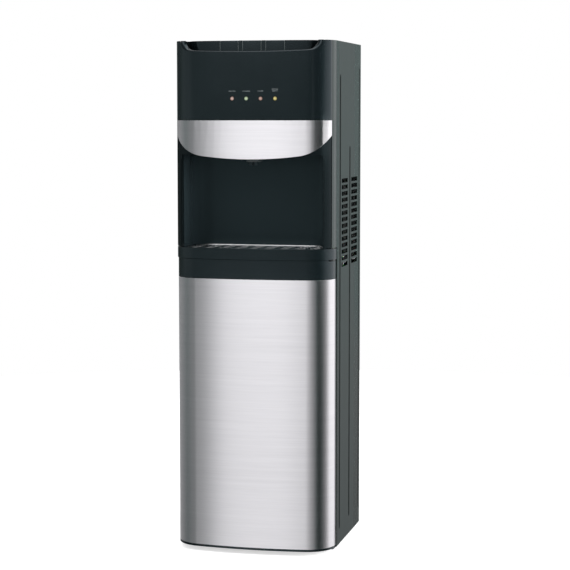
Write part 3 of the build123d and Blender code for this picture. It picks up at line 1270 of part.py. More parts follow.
def upper_hinge():
    """Stepped bracket on the shelf with the upper hinge pin."""
    x = (ALCOVE_HALF + LINER_WALL + SLIDE_GAP, INNER_HALF - SEAM)
    top = UPPER_PLATE_Z + HINGE_PLATE
    riser_y = (SHELF_FRONT_Y, SHELF_FRONT_Y + HINGE_PLATE)
    sole_y = (SHELF_FRONT_Y, HINGE_Y + HINGE_PLATE_LENGTH)
    bracket = slab(x, sole_y, (SHELF_TOP_Z, SHELF_TOP_Z + HINGE_PLATE))
    bracket += slab(x, riser_y, (SHELF_TOP_Z, top))
    bracket += slab(x, (HINGE_Y - HINGE_PLATE_WIDTH / 2, riser_y[1]), (UPPER_PLATE_Z, top))
    return bracket + post(HINGE_X, HINGE_Y, PIN_RADIUS, (DOOR_TOP_Z - PIN_REACH, top))


def magnet_x():
    """Both sides of the magnet on the door's free edge."""
    middle = -HALF_WIDTH + DOOR_INSET + DOOR_WALL / 2
    return (middle - MAGNET_WIDTH / 2, middle + MAGNET_WIDTH / 2)


def door_magnet():
    """Magnet bar on the door's free edge."""
    z = (MAGNET_Z - MAGNET_LENGTH / 2, MAGNET_Z + MAGNET_LENGTH / 2)
    return slab(magnet_x(), (CORNER_Y, CORNER_Y + MAGNET_THICKNESS), z)


def magnet_keeper():
    """Steel angle on the side panel that the magnet pulls against."""
    face_y = CORNER_Y + MAGNET_THICKNESS + SLIDE_GAP
    z = (MAGNET_Z - MAGNET_LENGTH / 2, MAGNET_Z + MAGNET_LENGTH / 2)
    keeper = slab((-INNER_HALF, magnet_x()[1]), (face_y, face_y + KEEPER), z)
    return keeper + slab((-INNER_HALF, -INNER_HALF + KEEPER), (face_y, face_y + FLANGE), z)


# Drip tray


def drip_tray():
    """Pull-out tray: a full-width curved front and a basin with a ledge for the grille."""
    front_z = (TRAY_BOTTOM_Z, TRAY_TOP_Z)
    basin_z = (TRAY_FLOOR_Z, TRAY_TOP_Z)
    tray = wall(0, FASCIA, CORNER_Y, front_z)
    basin = recess(-SLIDE_GAP, basin_z) & column(FASCIA / 2, 0, basin_z)
    ledge_z = (GRILLE_Z - SEAM, TRAY_TOP_Z)
    sump_z = (TRAY_FLOOR_Z + TRAY_FLOOR, TRAY_TOP_Z)
    rim = SLIDE_GAP + TRAY_WALL
    basin -= recess(-rim, ledge_z) & column(TRAY_RIM, 0, ledge_z)
    basin -= recess(-rim - LEDGE, sump_z) & column(TRAY_RIM + LEDGE, 0, sump_z)
    return tray + basin


def drip_grille():
    """Pressed steel grille with a raised border and rows of slots."""
    inset = SLIDE_GAP + TRAY_WALL + SLIDE_GAP
    plate_z = (GRILLE_Z, GRILLE_Z + GRILLE)
    bead_z = (GRILLE_Z, GRILLE_Z + GRILLE + GRILLE_BEAD)
    front = TRAY_RIM + SLIDE_GAP
    grille = recess(-inset, plate_z) & column(front, 0, plate_z)
    bead = recess(-inset, bead_z) & column(front, 0, bead_z)
    inner = recess(-inset - GRILLE_BEAD_WIDTH, bead_z) & column(front + GRILLE_BEAD_WIDTH, 0, bead_z)
    grille += bead - inner
    slot = SlotOverall(SLOT_LENGTH, SLOT_WIDTH)
    back_y = ALCOVE_BACK_Y - ALCOVE_CORNER / 2
    front_y = crown_y(ALCOVE_HALF - ALCOVE_CORNER, front + SLOT_MARGIN)
    columns = int((2 * (ALCOVE_HALF - inset - SLOT_MARGIN) - SLOT_LENGTH) / SLOT_PITCH_X) + 1
    rows = int((back_y - front_y - SLOT_WIDTH) / SLOT_PITCH_Y) + 1
    return grille - [
        prism(Pos(x, y, 0) * slot, plate_z)
        for x in [(step - (columns - 1) / 2) * SLOT_PITCH_X for step in range(columns)]
        for y in [(front_y + back_y + (2 * step - rows + 1) * SLOT_PITCH_Y) / 2 for step in range(rows)]
    ]


RIGHT_SIDE_PANEL = right_side_panel()
LAMP_NAMES = ["heating_lamp", "cooling_lamp", "power_lamp", "bottle_lamp"]
KEY_NAMES = ["hot", "room", "cold"]
ROCKER_NAMES = ["heater_rocker", "cooler_rocker"]

PARTS = {
    "base_pan": base_pan(),
    "feet": feet(),
    "right_side_panel": RIGHT_SIDE_PANEL,
    "left_side_panel": mirror(RIGHT_SIDE_PANEL, about=Plane.YZ),
    "back_panel": back_panel(),
    "machine_shelf": machine_shelf(),
    "tank_cradle": tank_cradle(),
    "alcove_liner": alcove_liner(),
    "steel_band": steel_band(),
    "nozzle_block": nozzle_block(),
    "spouts": spouts(),
    "top_hood": top_hood(),
    "key_switches": key_switches(),
    "control_board": control_board(),
    "cold_tank": cold_tank(),
    "evaporator_coil": evaporator_coil(),
    "cold_tank_foam": cold_tank_foam(),
    "hot_tank": hot_tank(),
    "hot_tank_stand": hot_tank_stand(),
    "heater_band": heater_band(),
    "drain_spout": drain_spout(),
    "drain_cap": drain_cap(),
    "bottle_pump": bottle_pump(),
    "pump_hoses": pump_hoses(),
    "spout_hoses": spout_hoses(),
    "compressor": compressor(),
    "compressor_grommets": compressor_grommets(),
    "refrigerant_pipes": refrigerant_pipes(),
    "condenser_tube": condenser_tube(),
    "condenser_wires": condenser_wires(),
    "condenser_clips": condenser_clips(),
    "filter_drier": filter_drier(),
    "switch_frames": switch_frames(),
    "cord_gland": cord_gland(),
    "probe_holder": probe_holder(),
    "probe_cap": probe_cap(),
    "probe_tube": probe_tube(),
    "door_skin": door_skin(),
    "door_core": door_core(),
    "door_top_cap": door_top_cap(),
    "door_bottom_cap": door_bottom_cap(),
    "hinge_bushes": hinge_bushes(),
    "lower_hinge": lower_hinge(),
    "upper_hinge": upper_hinge(),
    "door_magnet": door_magnet(),
    "magnet_keeper": magnet_keeper(),
    "drip_tray": drip_tray(),
    "drip_grille": drip_grille(),
}
for name, x in zip(LAMP_NAMES, LAMPS_X):
    PARTS[name] = indicator_lamp(x)
for name, x in zip(KEY_NAMES, KEYS_X):
    PARTS[name + "_key"] = push_key(x)
    PARTS[name + "_key_spring"] = key_spring(x)
for name, x in zip(ROCKER_NAMES, SWITCH_X):
    PARTS[name] = rocker(x)

os.makedirs("parts", exist_ok=True)
for name, shape in PARTS.items():
    solids = Compound(children=shape) if isinstance(shape, list) else shape
    export_step(solids, os.path.join("parts", name + ".step"))
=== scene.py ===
"""Finishes for a bottom-loading water dispenser and the studio it stands in."""

import json
import math

import bmesh
import bpy
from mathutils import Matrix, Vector

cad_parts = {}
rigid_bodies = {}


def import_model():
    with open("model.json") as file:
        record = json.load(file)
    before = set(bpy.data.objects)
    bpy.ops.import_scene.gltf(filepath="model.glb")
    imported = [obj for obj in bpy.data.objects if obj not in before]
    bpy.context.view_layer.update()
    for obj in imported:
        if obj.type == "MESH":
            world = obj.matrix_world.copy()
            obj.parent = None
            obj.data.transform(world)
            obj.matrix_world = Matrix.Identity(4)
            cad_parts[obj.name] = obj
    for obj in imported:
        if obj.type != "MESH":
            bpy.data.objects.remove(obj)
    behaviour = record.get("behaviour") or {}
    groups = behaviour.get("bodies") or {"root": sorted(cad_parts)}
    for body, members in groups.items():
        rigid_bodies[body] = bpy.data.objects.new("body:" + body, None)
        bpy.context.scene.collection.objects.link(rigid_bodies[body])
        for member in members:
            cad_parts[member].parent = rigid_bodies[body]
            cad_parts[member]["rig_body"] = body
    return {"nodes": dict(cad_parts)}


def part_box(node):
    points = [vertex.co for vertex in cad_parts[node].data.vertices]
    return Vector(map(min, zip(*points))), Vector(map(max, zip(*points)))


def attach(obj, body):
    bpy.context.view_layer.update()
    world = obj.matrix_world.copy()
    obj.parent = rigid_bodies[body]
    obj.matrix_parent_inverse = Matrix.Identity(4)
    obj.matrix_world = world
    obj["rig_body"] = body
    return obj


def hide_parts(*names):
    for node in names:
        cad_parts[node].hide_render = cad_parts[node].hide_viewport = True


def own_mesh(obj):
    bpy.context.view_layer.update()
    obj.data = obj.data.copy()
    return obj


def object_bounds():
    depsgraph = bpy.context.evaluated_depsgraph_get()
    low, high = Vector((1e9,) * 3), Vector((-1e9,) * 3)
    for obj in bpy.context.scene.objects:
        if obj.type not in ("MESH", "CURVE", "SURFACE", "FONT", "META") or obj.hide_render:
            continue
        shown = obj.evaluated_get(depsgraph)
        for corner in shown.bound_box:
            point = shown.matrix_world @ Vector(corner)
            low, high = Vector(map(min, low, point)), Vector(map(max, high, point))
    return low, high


bl_info = {
    "name": "Water dispenser finishes",
    "version": (1, 0, 0),
    "blender": (4, 5, 0),
    "location": "View3D > Sidebar > Dispenser",
    "description": "Dresses a packed water dispenser and sets its studio",
    "category": "Object",
}

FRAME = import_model()
CAD_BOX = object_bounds()
MM = 0.001
# Corners of a CAD mesh this close are one corner.
MERGE_GAP = 0.001 * MM
# Corners this close to a face lie on it.
FACE_GAP = 0.1 * MM
# Faces that meet at less than this are facets of one flat face.
FLAT_ANGLE = math.radians(0.05)
# Edges past these angles are shaded as sharp, or are rounded.
SHARP_ANGLE = math.radians(35)
ROUND_ANGLE = math.radians(40)
# Noise keeps mostly between these levels.
NOISE_LEVELS = (0.3, 0.7)
# A capital's height as a share of the height of its font.
CAPITAL_SHARE = 0.7
# Pieces of line along the lip's shallow half, along each of its round ends and round its rim.
LIP_STEPS = 24
LIP_END_STEPS = 10
RIM_STEPS = 8
# Shares of the lip's half width between which its rim widens.
RIM_WIDENS = (0.8, 0.98)
SCREW_ROWS = 5
# Words printed over the lamps, from the top line down.
LEGENDS = {
    "heating": ["HEATING"],
    "cooling": ["COOLING"],
    "power": ["POWER"],
    "bottle": ["BOTTLE", "EMPTY"],
}


def hex_colour(text):
    """The linear colour of an sRGB hex value."""
    parts = [int(text[start : start + 2], 16) / 255 for start in (1, 3, 5)]
    return tuple(p / 12.92 if p <= 0.04045 else ((p + 0.055) / 1.055) ** 2.4 for p in parts)


def colour(name, description, text):
    """A colour that the user can change."""
    return bpy.props.FloatVectorProperty(
        name=name, description=description, subtype="COLOR", size=3, min=0, max=1, default=hex_colour(text)
    )


def length(name, description, millimetres):
    """A length that the user can change."""
    return bpy.props.FloatProperty(
        name=name, description=description, subtype="DISTANCE", unit="LENGTH", min=0, default=millimetres * MM
    )


class DispenserColours(bpy.types.PropertyGroup):
    """Colours of the dispenser's finishes."""

    gloss_black: colour("Gloss black", "Moulded hood, keys, door caps and tray", "#0b1113")
    satin_black: colour("Satin black", "Moulded base, spouts and door core", "#1b2224")
    # Painted light: the alcove's inside has this colour, lighter than its pillars of the same moulding, to
    # make up for the shade inside.
    alcove_black: colour("Alcove black", "Moulded alcove", "#232c2f")
    side_grey: colour("Side grey", "Moulded side panels", "#1a2221")
    # Painted highlight: the ribs' grey stands for the light that the keys' rounded front edges catch.
    highlight_rib_grey: colour("Rib grey", "Ribs on the edges of the push keys", "#444c4d")
    steel_light: colour("Steel, light", "Crests of the brushing", "#edecee")
    steel_dark: colour("Steel, dark", "Hollows of the brushing", "#e4e3e5")
    nozzle_grey: colour("Nozzle grey", "Moulded nozzle block", "#343a3b")
    zinc: colour("Zinc", "Coated sheet inside and behind", "#a9adae")
    copper: colour("Copper", "Refrigerant pipes and coil", "#c98a63")
    foam: colour("Foam", "Insulation round the cold tank", "#ece7d8")
    white: colour("White plastic", "Probe cap and other food-grade mouldings", "#e3e2da")
    silicone: colour("Silicone", "Water hoses", "#d5d6d0")
    heating: colour("Heating lamp", "Lens of the heating lamp", "#b09890")
    cooling: colour("Cooling lamp", "Lens of the cooling lamp", "#a8b59a")
    power: colour("Power lamp", "Lens of the power lamp", "#a58c82")
    bottle: colour("Bottle lamp", "Lens of the empty bottle lamp", "#b8ad74")
    ink: colour("Ink", "Printed legends", "#8d9496")


class DispenserSizes(bpy.types.PropertyGroup):
    """Sizes of the dispenser's small details and of its studio."""

    moulded_edge: length("Moulded edge", "Round on the edges of mouldings", 0.8)
    rim_height: length("Rim height", "Round on the middle of the hood's scooped lip", 2.0)
    rim_sweep: length("Rim sweep", "Round where the lip turns up at its ends", 7.0)
    rim_depth: length("Rim depth", "From the front of the lip to its back", 7.0)
    rim_root: length("Rim root", "How far the rim reaches into the hood", 1.0)
    lip_half: length("Lip half width", "From the middle to the ends of the scooped lip", 147.0)
    lip_depth: length("Lip depth", "How far the scooped lip reaches below the top", 23.8)
    lip_radius: length("Lip radius", "Radius of the shallow middle of the lip", 2550.0)
    lip_turn: length("Lip turn", "Radius of the lip's round ends", 20.0)
    lip_play: length("Lip play", "How far the lip's cut goes past the lip's back", 0.5)
    # The ribs carry the painted highlight on the keys' front edges.
    rib_width: length("Rib width", "Width of the rib up each front edge of a push key", 1.2)
    rib_height: length("Rib height", "How far the ribs stand proud of the keys", 0.3)
    sheet_edge: length("Sheet edge", "Round on the edges of sheet metal and of fine mouldings", 0.3)
    legend_height: length("Legend height", "Height of a printed capital", 2.2)
    legend_rise: length("Legend rise", "From a lamp's middle up to its legend", 13.6)
    legend_stand: length("Legend stand", "How far the ink stands proud of the front", 0.03)
    legend_line: length("Legend line", "From one line of a legend to the next", 3.6)
    alcove_half: length("Alcove half width", "From the middle to the alcove's inner walls", 146.0)
    alcove_mouth: length("Alcove mouth", "From the middle forwards to the inner walls' edge", 128.0)
    side_corner: length("Side corner", "How far the bend at the front of a side panel reaches back", 45.0)
    side_fade: length("Side fade", "How far the bend's polish takes to fade", 5.0)
    groove_depth: length("Groove depth", "Depth of the grooves in the side panels", 1.0)
    # Painted shade beside each groove fades over this reach.
    groove_fade: length("Groove fade", "How far the shade beside a groove reaches", 6.5)
    crown_radius: length("Crown radius", "Radius of the front in plan", 800.0)
    corner_radius: length("Corner radius", "Radius of the front's corners in plan", 60.0)
    screw_radius: length("Screw radius", "Radius of a pan head", 3.4)
    screw_height: length("Screw height", "Height of a pan head", 1.6)
    slot_width: length("Slot width", "Width of the cross in a pan head", 0.9)
    slot_length: length("Slot length", "Length of the cross in a pan head", 3.8)
    slot_depth: length("Slot depth", "Height of the block that cuts the cross, half of it in the head", 1.6)
    screw_inset: length("Screw inset", "From the edge of the back panel to its screws", 9.0)
    card_place: length("Card place", "From the middle to the cards on the right", 400.0)
    floor_radius: length("Floor radius", "Radius of the studio floor", 2500.0)
    camera_place: bpy.props.FloatVectorProperty(
        name="Camera place",
        description="Where the camera stands",
        subtype="TRANSLATION",
        unit="LENGTH",
        default=(0.9027, -3.6001, 0.8909),
    )
    camera_yaw: bpy.props.FloatProperty(
        name="Camera yaw", description="Turn to the left", subtype="ANGLE", default=math.radians(13.555)
    )
    camera_pitch: bpy.props.FloatProperty(
        name="Camera pitch", description="Tilt downwards", subtype="ANGLE", default=math.radians(5.446)
    )
    camera_lens: bpy.props.FloatProperty(
        name="Camera lens", description="Focal length", subtype="DISTANCE_CAMERA", default=112.345
    )


def add_node(tree, kind, links=None, **settings):
    """Adds a node; links go from an input's name or number to an output socket or to a plain value."""
    node = tree.nodes.new(kind)
    for key, value in settings.items():
        setattr(node, key, value)
    for key, value in (links or {}).items():
        if isinstance(value, bpy.types.NodeSocket):
            tree.links.new(value, node.inputs[key])
        else:
            node.inputs[key].default_value = value
    return node


def new_material(name):
    """An empty material with its shader; returns the material, its tree and its shader."""
    material = bpy.data.materials.new(name)
    material.use_nodes = True
    tree = material.node_tree
    return material, tree, tree.nodes["Principled BSDF"]


def grain(tree, size, detail=2.0):
    """Noise on the piece's own coordinates, with a feature size in millimetres for each axis."""
    place = add_node(tree, "ShaderNodeTexCoord")
    scale = [1 / (side * MM) for side in size]
    mapping = add_node(tree, "ShaderNodeMapping", {"Vector": place.outputs["Object"], "Scale": scale})
    return add_node(
        tree,
        "ShaderNodeTexNoise",
        {"Vector": mapping.outputs["Vector"], "Scale": 1.0, "Detail": detail, "Roughness": 0.55},
    )


def spread(tree, source, low, high):
    """Noise stretched to run from low to high."""
    least, most = NOISE_LEVELS
    limits = {"Value": source, "From Min": least, "From Max": most, "To Min": low, "To Max": high}
    return add_node(tree, "ShaderNodeMapRange", limits).outputs["Result"]


def shade_of(base, share):
    """A colour made darker or lighter by a share."""
    return tuple(c * share for c in base)


def tint(tree, source, low, high):
    """Noise turned to a colour between two."""
    ends = {"Factor": source, 6: (*low, 1), 7: (*high, 1)}
    return add_node(tree, "ShaderNodeMix", ends, data_type="RGBA").outputs[2]


def relief(tree, shader, height, depth, strength=1.0):
    """Surface relief on a shader, depth in millimetres."""
    bump = add_node(tree, "ShaderNodeBump", {"Height": height, "Distance": depth * MM, "Strength": strength})
    tree.links.new(bump.outputs["Normal"], shader.inputs["Normal"])


def moulded(name, base, rough, size, depth, coat=0.0, gloss=0.5, sheen=(1, 1, 1)):
    """Moulded plastic: a base colour with faint flow marks, and a grain of the tool in millimetres."""
    material, tree, shader = new_material(name)
    flow = 60
    cloud = grain(tree, (flow, flow, flow)).outputs["Fac"]
    lighter = shade_of(base, 1.12)
    tree.links.new(tint(tree, spread(tree, cloud, 0, 1), base, lighter), shader.inputs["Base Color"])
    tree.links.new(spread(tree, cloud, rough * 0.96, rough * 1.04), shader.inputs["Roughness"])
    shader.inputs["IOR"].default_value = 1.5
    shader.inputs["Specular IOR Level"].default_value = gloss
    shader.inputs["Specular Tint"].default_value = (*sheen, 1)
    shader.inputs["Coat Weight"].default_value = coat
    shader.inputs["Coat Roughness"].default_value = 0.08
    relief(tree, shader, grain(tree, (size, size, size)).outputs["Fac"], depth)
    return material


def gloss_abs():
    """Polished moulded ABS: near-black, mirror-like, with a slow orange-peel ripple."""
    base = bpy.context.scene.dispenser_colours.gloss_black
    return moulded("ABS, polished black", base, rough=0.16, size=6.0, depth=0.004, sheen=(0.76, 0.93, 1))


def satin_abs():
    """Fine-grained moulded ABS: near-black with broad soft highlights."""
    base = bpy.context.scene.dispenser_colours.satin_black
    look = {"gloss": 0.25, "sheen": (0.7, 0.94, 1)}
    return moulded("ABS, satin black", base, rough=0.42, size=1.2, depth=0.01, **look)


def beyond(tree, axis, near, far):
    """A mask that rises from 0 to 1 between two distances from the middle along an axis, on both sides."""
    place = add_node(tree, "ShaderNodeTexCoord")
    parts = add_node(tree, "ShaderNodeSeparateXYZ", {"Vector": place.outputs["Object"]}).outputs
    apart = add_node(tree, "ShaderNodeMath", {0: parts[axis]}, operation="ABSOLUTE").outputs[0]
    limits = {"Value": apart, "From Min": near, "From Max": far}
    return add_node(tree, "ShaderNodeMapRange", limits).outputs["Result"]


def masked(tree, shader, mask, base, share, gloss):
    """Paints light and shade: darkens the base colour to a share of it, and dulls the gloss, where a mask is
    0.
    """
    dusk = shade_of(base, share)
    tree.links.new(tint(tree, mask, dusk, base), shader.inputs["Base Color"])
    limits = {"Value": mask, "To Min": gloss[0], "To Max": gloss[1]}
    level = add_node(tree, "ShaderNodeMapRange", limits).outputs["Result"]
    tree.links.new(level, shader.inputs["Specular IOR Level"])


def alcove_abs():
    """Moulded ABS of the alcove: polished inside, dull and darker on the pillars; painted light keeps the
    inside lighter, against the shade there.
    """
    base = bpy.context.scene.dispenser_colours.alcove_black
    made = moulded("ABS, alcove black", base, rough=0.2, size=6.0, depth=0.004, sheen=(0.64, 0.93, 1))
    tree = made.node_tree
    sizes = bpy.context.scene.dispenser_sizes
    edge = 1 * MM
    # Painted light: one moulding, lighter inside the alcove than on its pillars, against the shade inside.
    between = beyond(tree, "X", sizes.alcove_half + 2 * edge, sizes.alcove_half + edge)
    behind = beyond(tree, "Y", sizes.alcove_mouth, sizes.alcove_mouth - 2 * edge)
    inside = add_node(tree, "ShaderNodeMath", {0: between, 1: behind}, operation="MINIMUM").outputs[0]
    masked(tree, tree.nodes["Principled BSDF"], inside, base, share=0.22, gloss=(0.1, 0.2))
    return made


def clear_of_grooves(tree, node):
    """A mask that falls from 1 to 0 on the way to each upright groove of a side panel, for the shade painted
    beside the grooves.
    """
    sizes = bpy.context.scene.dispenser_sizes
    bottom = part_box(node)[1].x - sizes.groove_depth
    corners = [vertex.co for vertex in FRAME["nodes"][node].data.vertices]
    floor = [point for point in corners if abs(point.x - bottom) < FACE_GAP]
    sides = sorted({round(point.y, 5) for point in floor})
    place = add_node(tree, "ShaderNodeTexCoord")
    parts = add_node(tree, "ShaderNodeSeparateXYZ", {"Vector": place.outputs["Object"]}).outputs
    mask = 1.0
    for near, far in zip(sides[::2], sides[1::2]):
        heights = [point.z for point in floor if near - FACE_GAP < point.y < far + FACE_GAP]
        clear = 0.0
        for axis, start, end in (("Y", near, far), ("Z", min(heights), max(heights))):
            links = {0: parts[axis], 1: (start + end) / 2}
            offset = add_node(tree, "ShaderNodeMath", links, operation="SUBTRACT").outputs[0]
            apart = add_node(tree, "ShaderNodeMath", {0: offset}, operation="ABSOLUTE").outputs[0]
            half = (end - start) / 2
            limits = {"Value": apart, "From Min": half, "From Max": half + sizes.groove_fade}
            outside = add_node(tree, "ShaderNodeMapRange", limits).outputs["Result"]
            clear = add_node(tree, "ShaderNodeMath", {0: outside, 1: clear}, operation="MAXIMUM").outputs[0]
        mask = add_node(tree, "ShaderNodeMath", {0: clear, 1: mask}, operation="MINIMUM").outputs[0]
    return mask


def side_abs():
    """Spark-textured ABS: dark grey-green, a dull sheen at a low angle, with painted shade in its grooves and
    louvres and beside its grooves.
    """
    base = bpy.context.scene.dispenser_colours.side_grey
    made = moulded("ABS, textured grey", base, rough=0.36, size=1.5, depth=0.012, sheen=(0.9, 0.98, 0.97))
    tree = made.node_tree
    low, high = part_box("right_side_panel")
    sizes = bpy.context.scene.dispenser_sizes
    skin = 0.2 * MM
    # Painted shade in the grooves and louvres, below the outer face.
    outside = beyond(tree, "X", high.x - 3 * skin, high.x - skin)
    bend = -low.y - sizes.side_corner
    corner = beyond(tree, "Y", bend, bend + sizes.side_fade)
    unshaded = add_node(tree, "ShaderNodeMath", {0: outside, 1: corner}, operation="MAXIMUM").outputs[0]
    # Painted shade beside the grooves.
    clear = clear_of_grooves(tree, "right_side_panel")
    unshaded = add_node(tree, "ShaderNodeMath", {0: unshaded, 1: clear}, operation="MINIMUM").outputs[0]
    shader = tree.nodes["Principled BSDF"]
    masked(tree, shader, unshaded, base, share=0.1, gloss=(0.0, 0.5))
    limits = {"Value": unshaded, "To Min": 1.0, "To Max": 0.36}
    rough = add_node(tree, "ShaderNodeMapRange", limits).outputs["Result"]
    limits = {"Value": corner, "To Min": rough, "To Max": 0.22}
    polish = add_node(tree, "ShaderNodeMapRange", limits).outputs["Result"]
    tree.links.new(polish, shader.inputs["Roughness"])
    return made


def skin_steel():
    """Stainless sheet brushed across: fine level lines, reflections drawn out upwards and downwards."""
    material, tree, shader = new_material("stainless steel, brushed")
    colours = bpy.context.scene.dispenser_colours
    shades = (colours.steel_dark, colours.steel_light)
    rough = 0.3
    # Real brush lines are about 0.1 mm high; they are drawn 1.1 mm high here so that they show.
    lines = grain(tree, (60, 60, 1.1), 3.0).outputs["Fac"]
    # Broader bands are left where the belt pressed harder.
    bands = grain(tree, (260, 260, 5), 2.0).outputs["Fac"]
    both = add_node(tree, "ShaderNodeMath", {0: lines, 1: bands}, operation="ADD").outputs[0]
    mean = add_node(tree, "ShaderNodeMath", {0: both, 1: 0.5}, operation="MULTIPLY").outputs[0]
    tree.links.new(tint(tree, spread(tree, mean, 0, 1), *shades), shader.inputs["Base Color"])
    tree.links.new(spread(tree, lines, rough * 0.94, rough * 1.06), shader.inputs["Roughness"])
    shader.inputs["Metallic"].default_value = 1.0
    shader.inputs["Anisotropic"].default_value = 1.0
    shader.inputs["Anisotropic Rotation"].default_value = 0.25
    round_z = add_node(tree, "ShaderNodeTangent", direction_type="RADIAL", axis="Z")
    tree.links.new(round_z.outputs["Tangent"], shader.inputs["Tangent"])
    relief(tree, shader, lines, depth=0.01, strength=0.2)
    return material


def plain_metal(name, base, rough, size, depth):
    """Bare metal with a slow variation of polish."""
    material, tree, shader = new_material(name)
    cloud = grain(tree, (size, size, size)).outputs["Fac"]
    darker = shade_of(base, 0.82)
    tree.links.new(tint(tree, spread(tree, cloud, 0, 1), darker, base), shader.inputs["Base Color"])
    tree.links.new(spread(tree, cloud, rough * 0.8, rough * 1.2), shader.inputs["Roughness"])
    shader.inputs["Metallic"].default_value = 1.0
    relief(tree, shader, cloud, depth)
    return material


def grille_steel():
    """Pressed stainless of the grille: bright rolled edges, slightly clouded flats."""
    return plain_metal("stainless steel, pressed", hex_colour("#d8d9d9"), rough=0.24, size=5.0, depth=0.01)


def drawn_steel():
    """Drawn stainless of the tanks and springs: smooth, with faint draw clouds."""
    return plain_metal("stainless steel, drawn", hex_colour("#c9c9c6"), rough=0.28, size=14.0, depth=0.01)


def copper():
    """Drawn copper: warm, bright, dulled in patches."""
    base = bpy.context.scene.dispenser_colours.copper
    return plain_metal("copper, drawn", base, rough=0.3, size=8.0, depth=0.01)


def zinc_sheet():
    """Hot-dip zinc on sheet steel: flat crystals a centimetre across, each a little brighter or duller."""
    material, tree, shader = new_material("galvanised steel sheet")
    base = bpy.context.scene.dispenser_colours.zinc
    place = add_node(tree, "ShaderNodeTexCoord")
    crystal = 11 * MM
    links = {"Vector": place.outputs["Object"], "Scale": 1 / crystal}
    crystals = add_node(tree, "ShaderNodeTexVoronoi", links)
    level = add_node(tree, "ShaderNodeSeparateColor", {"Color": crystals.outputs["Color"]}).outputs["Red"]
    darker = shade_of(base, 0.72)
    tree.links.new(tint(tree, level, darker, base), shader.inputs["Base Color"])
    limits = {"Value": level, "To Min": 0.38, "To Max": 0.52}
    rough = add_node(tree, "ShaderNodeMapRange", limits).outputs["Result"]
    tree.links.new(rough, shader.inputs["Roughness"])
    shader.inputs["Metallic"].default_value = 0.85
    return material


def black_enamel():
    """Baked enamel on wire and steel shells: black, wet-looking, with a slight sag ripple."""
    return moulded("baked enamel, black", hex_colour("#161718"), rough=0.25, size=4.0, depth=0.02, coat=0.4)


def rubber():
    """Moulded rubber: black and dull, with a fine matt bloom."""
    return moulded("rubber, moulded", hex_colour("#191918"), rough=0.7, size=0.9, depth=0.03)


def nylon():
    """Moulded nylon: black, slightly waxy."""
    return moulded("nylon, black", hex_colour("#19191a"), rough=0.45, size=1.1, depth=0.015)


def ferrite():
    """Sintered ferrite: charcoal, dead matt, gritty."""
    return moulded("ferrite, sintered", hex_colour("#37353a"), rough=0.75, size=0.7, depth=0.04)


def white_plastic():
    """Natural polypropylene: milky white with a soft sheen."""
    base = bpy.context.scene.dispenser_colours.white
    return moulded("polypropylene, natural", base, rough=0.42, size=2.0, depth=0.01)


def grey_plastic():
    """Grey polypropylene of the nozzle block: soft sheen over an even grey."""
    base = bpy.context.scene.dispenser_colours.nozzle_grey
    return moulded("polypropylene, grey", base, rough=0.4, size=2.0, depth=0.01)


def painted_highlight_rib():
    """Grey moulded ABS on the keys' front edges: a painted highlight for the light that the rounded edges
    catch.
    """
    base = bpy.context.scene.dispenser_colours.highlight_rib_grey
    return moulded("ABS, painted edge highlight", base, rough=0.45, size=1.5, depth=0.01)


def silicone():
    """Food-grade silicone tube: milky, slightly see-through, soft highlights."""
    base = bpy.context.scene.dispenser_colours.silicone
    made = moulded("silicone tube", base, rough=0.4, size=3.0, depth=0.01)
    shader = made.node_tree.nodes["Principled BSDF"]
    shader.inputs["Subsurface Weight"].default_value = 0.3
    shader.inputs["Subsurface Scale"].default_value = 2 * MM
    return made


def foam():
    """Expanded polystyrene: cream-white beads three millimetres across, pressed together."""
    material, tree, shader = new_material("polystyrene foam")
    base = bpy.context.scene.dispenser_colours.foam
    place = add_node(tree, "ShaderNodeTexCoord")
    bead = 3 * MM
    links = {"Vector": place.outputs["Object"], "Scale": 1 / bead}
    beads = add_node(tree, "ShaderNodeTexVoronoi", links).outputs["Distance"]
    darker = shade_of(base, 0.8)
    tree.links.new(tint(tree, beads, base, darker), shader.inputs["Base Color"])
    shader.inputs["Roughness"].default_value = 0.8
    relief(tree, shader, beads, depth=-0.3)
    return material


def board_laminate():
    """Solder-masked laminate: green lacquer over faint straight copper tracks."""
    material, tree, shader = new_material("circuit board, solder mask")
    place = add_node(tree, "ShaderNodeTexCoord")
    track = 20 * MM
    links = {"Vector": place.outputs["Object"], "Scale": 1 / track, "Distortion": 0.6}
    tracks = add_node(tree, "ShaderNodeTexWave", links, bands_direction="Z").outputs["Fac"]
    shades = (hex_colour("#0f3d22"), hex_colour("#1d6237"))
    tree.links.new(tint(tree, tracks, *shades), shader.inputs["Base Color"])
    shader.inputs["Roughness"].default_value = 0.28
    relief(tree, shader, tracks, depth=0.04)
    return material


def lens(name, base, middle):
    """Tinted diffusing lens: a pale glow in the middle that deepens to the tint at its rim."""
    material, tree, shader = new_material(name)
    place = add_node(tree, "ShaderNodeTexCoord")
    centre = {"Vector": place.outputs["Object"], "Location": [-side for side in middle]}
    mapping = add_node(tree, "ShaderNodeMapping", centre)
    apart = add_node(tree, "ShaderNodeVectorMath", {0: mapping.outputs["Vector"]}, operation="LENGTH")
    glow_radius = 1.2 * MM
    rim_radius = 4.0 * MM
    limits = {"Value": apart.outputs["Value"], "From Min": glow_radius, "From Max": rim_radius}
    edge = add_node(tree, "ShaderNodeMapRange", limits).outputs["Result"]
    deep = tuple(c**1.9 for c in base)
    glow = tint(tree, edge, base, deep)
    tree.links.new(glow, shader.inputs["Base Color"])
    tree.links.new(glow, shader.inputs["Emission Color"])
    shader.inputs["Emission Strength"].default_value = 0.06
    shader.inputs["Roughness"].default_value = 0.22
    return material


def rocker_plastic(name, base):
    """Translucent moulded rocker: strong colour, polished by fingers."""
    return moulded(name, base, rough=0.22, size=3.0, depth=0.01, coat=0.3)


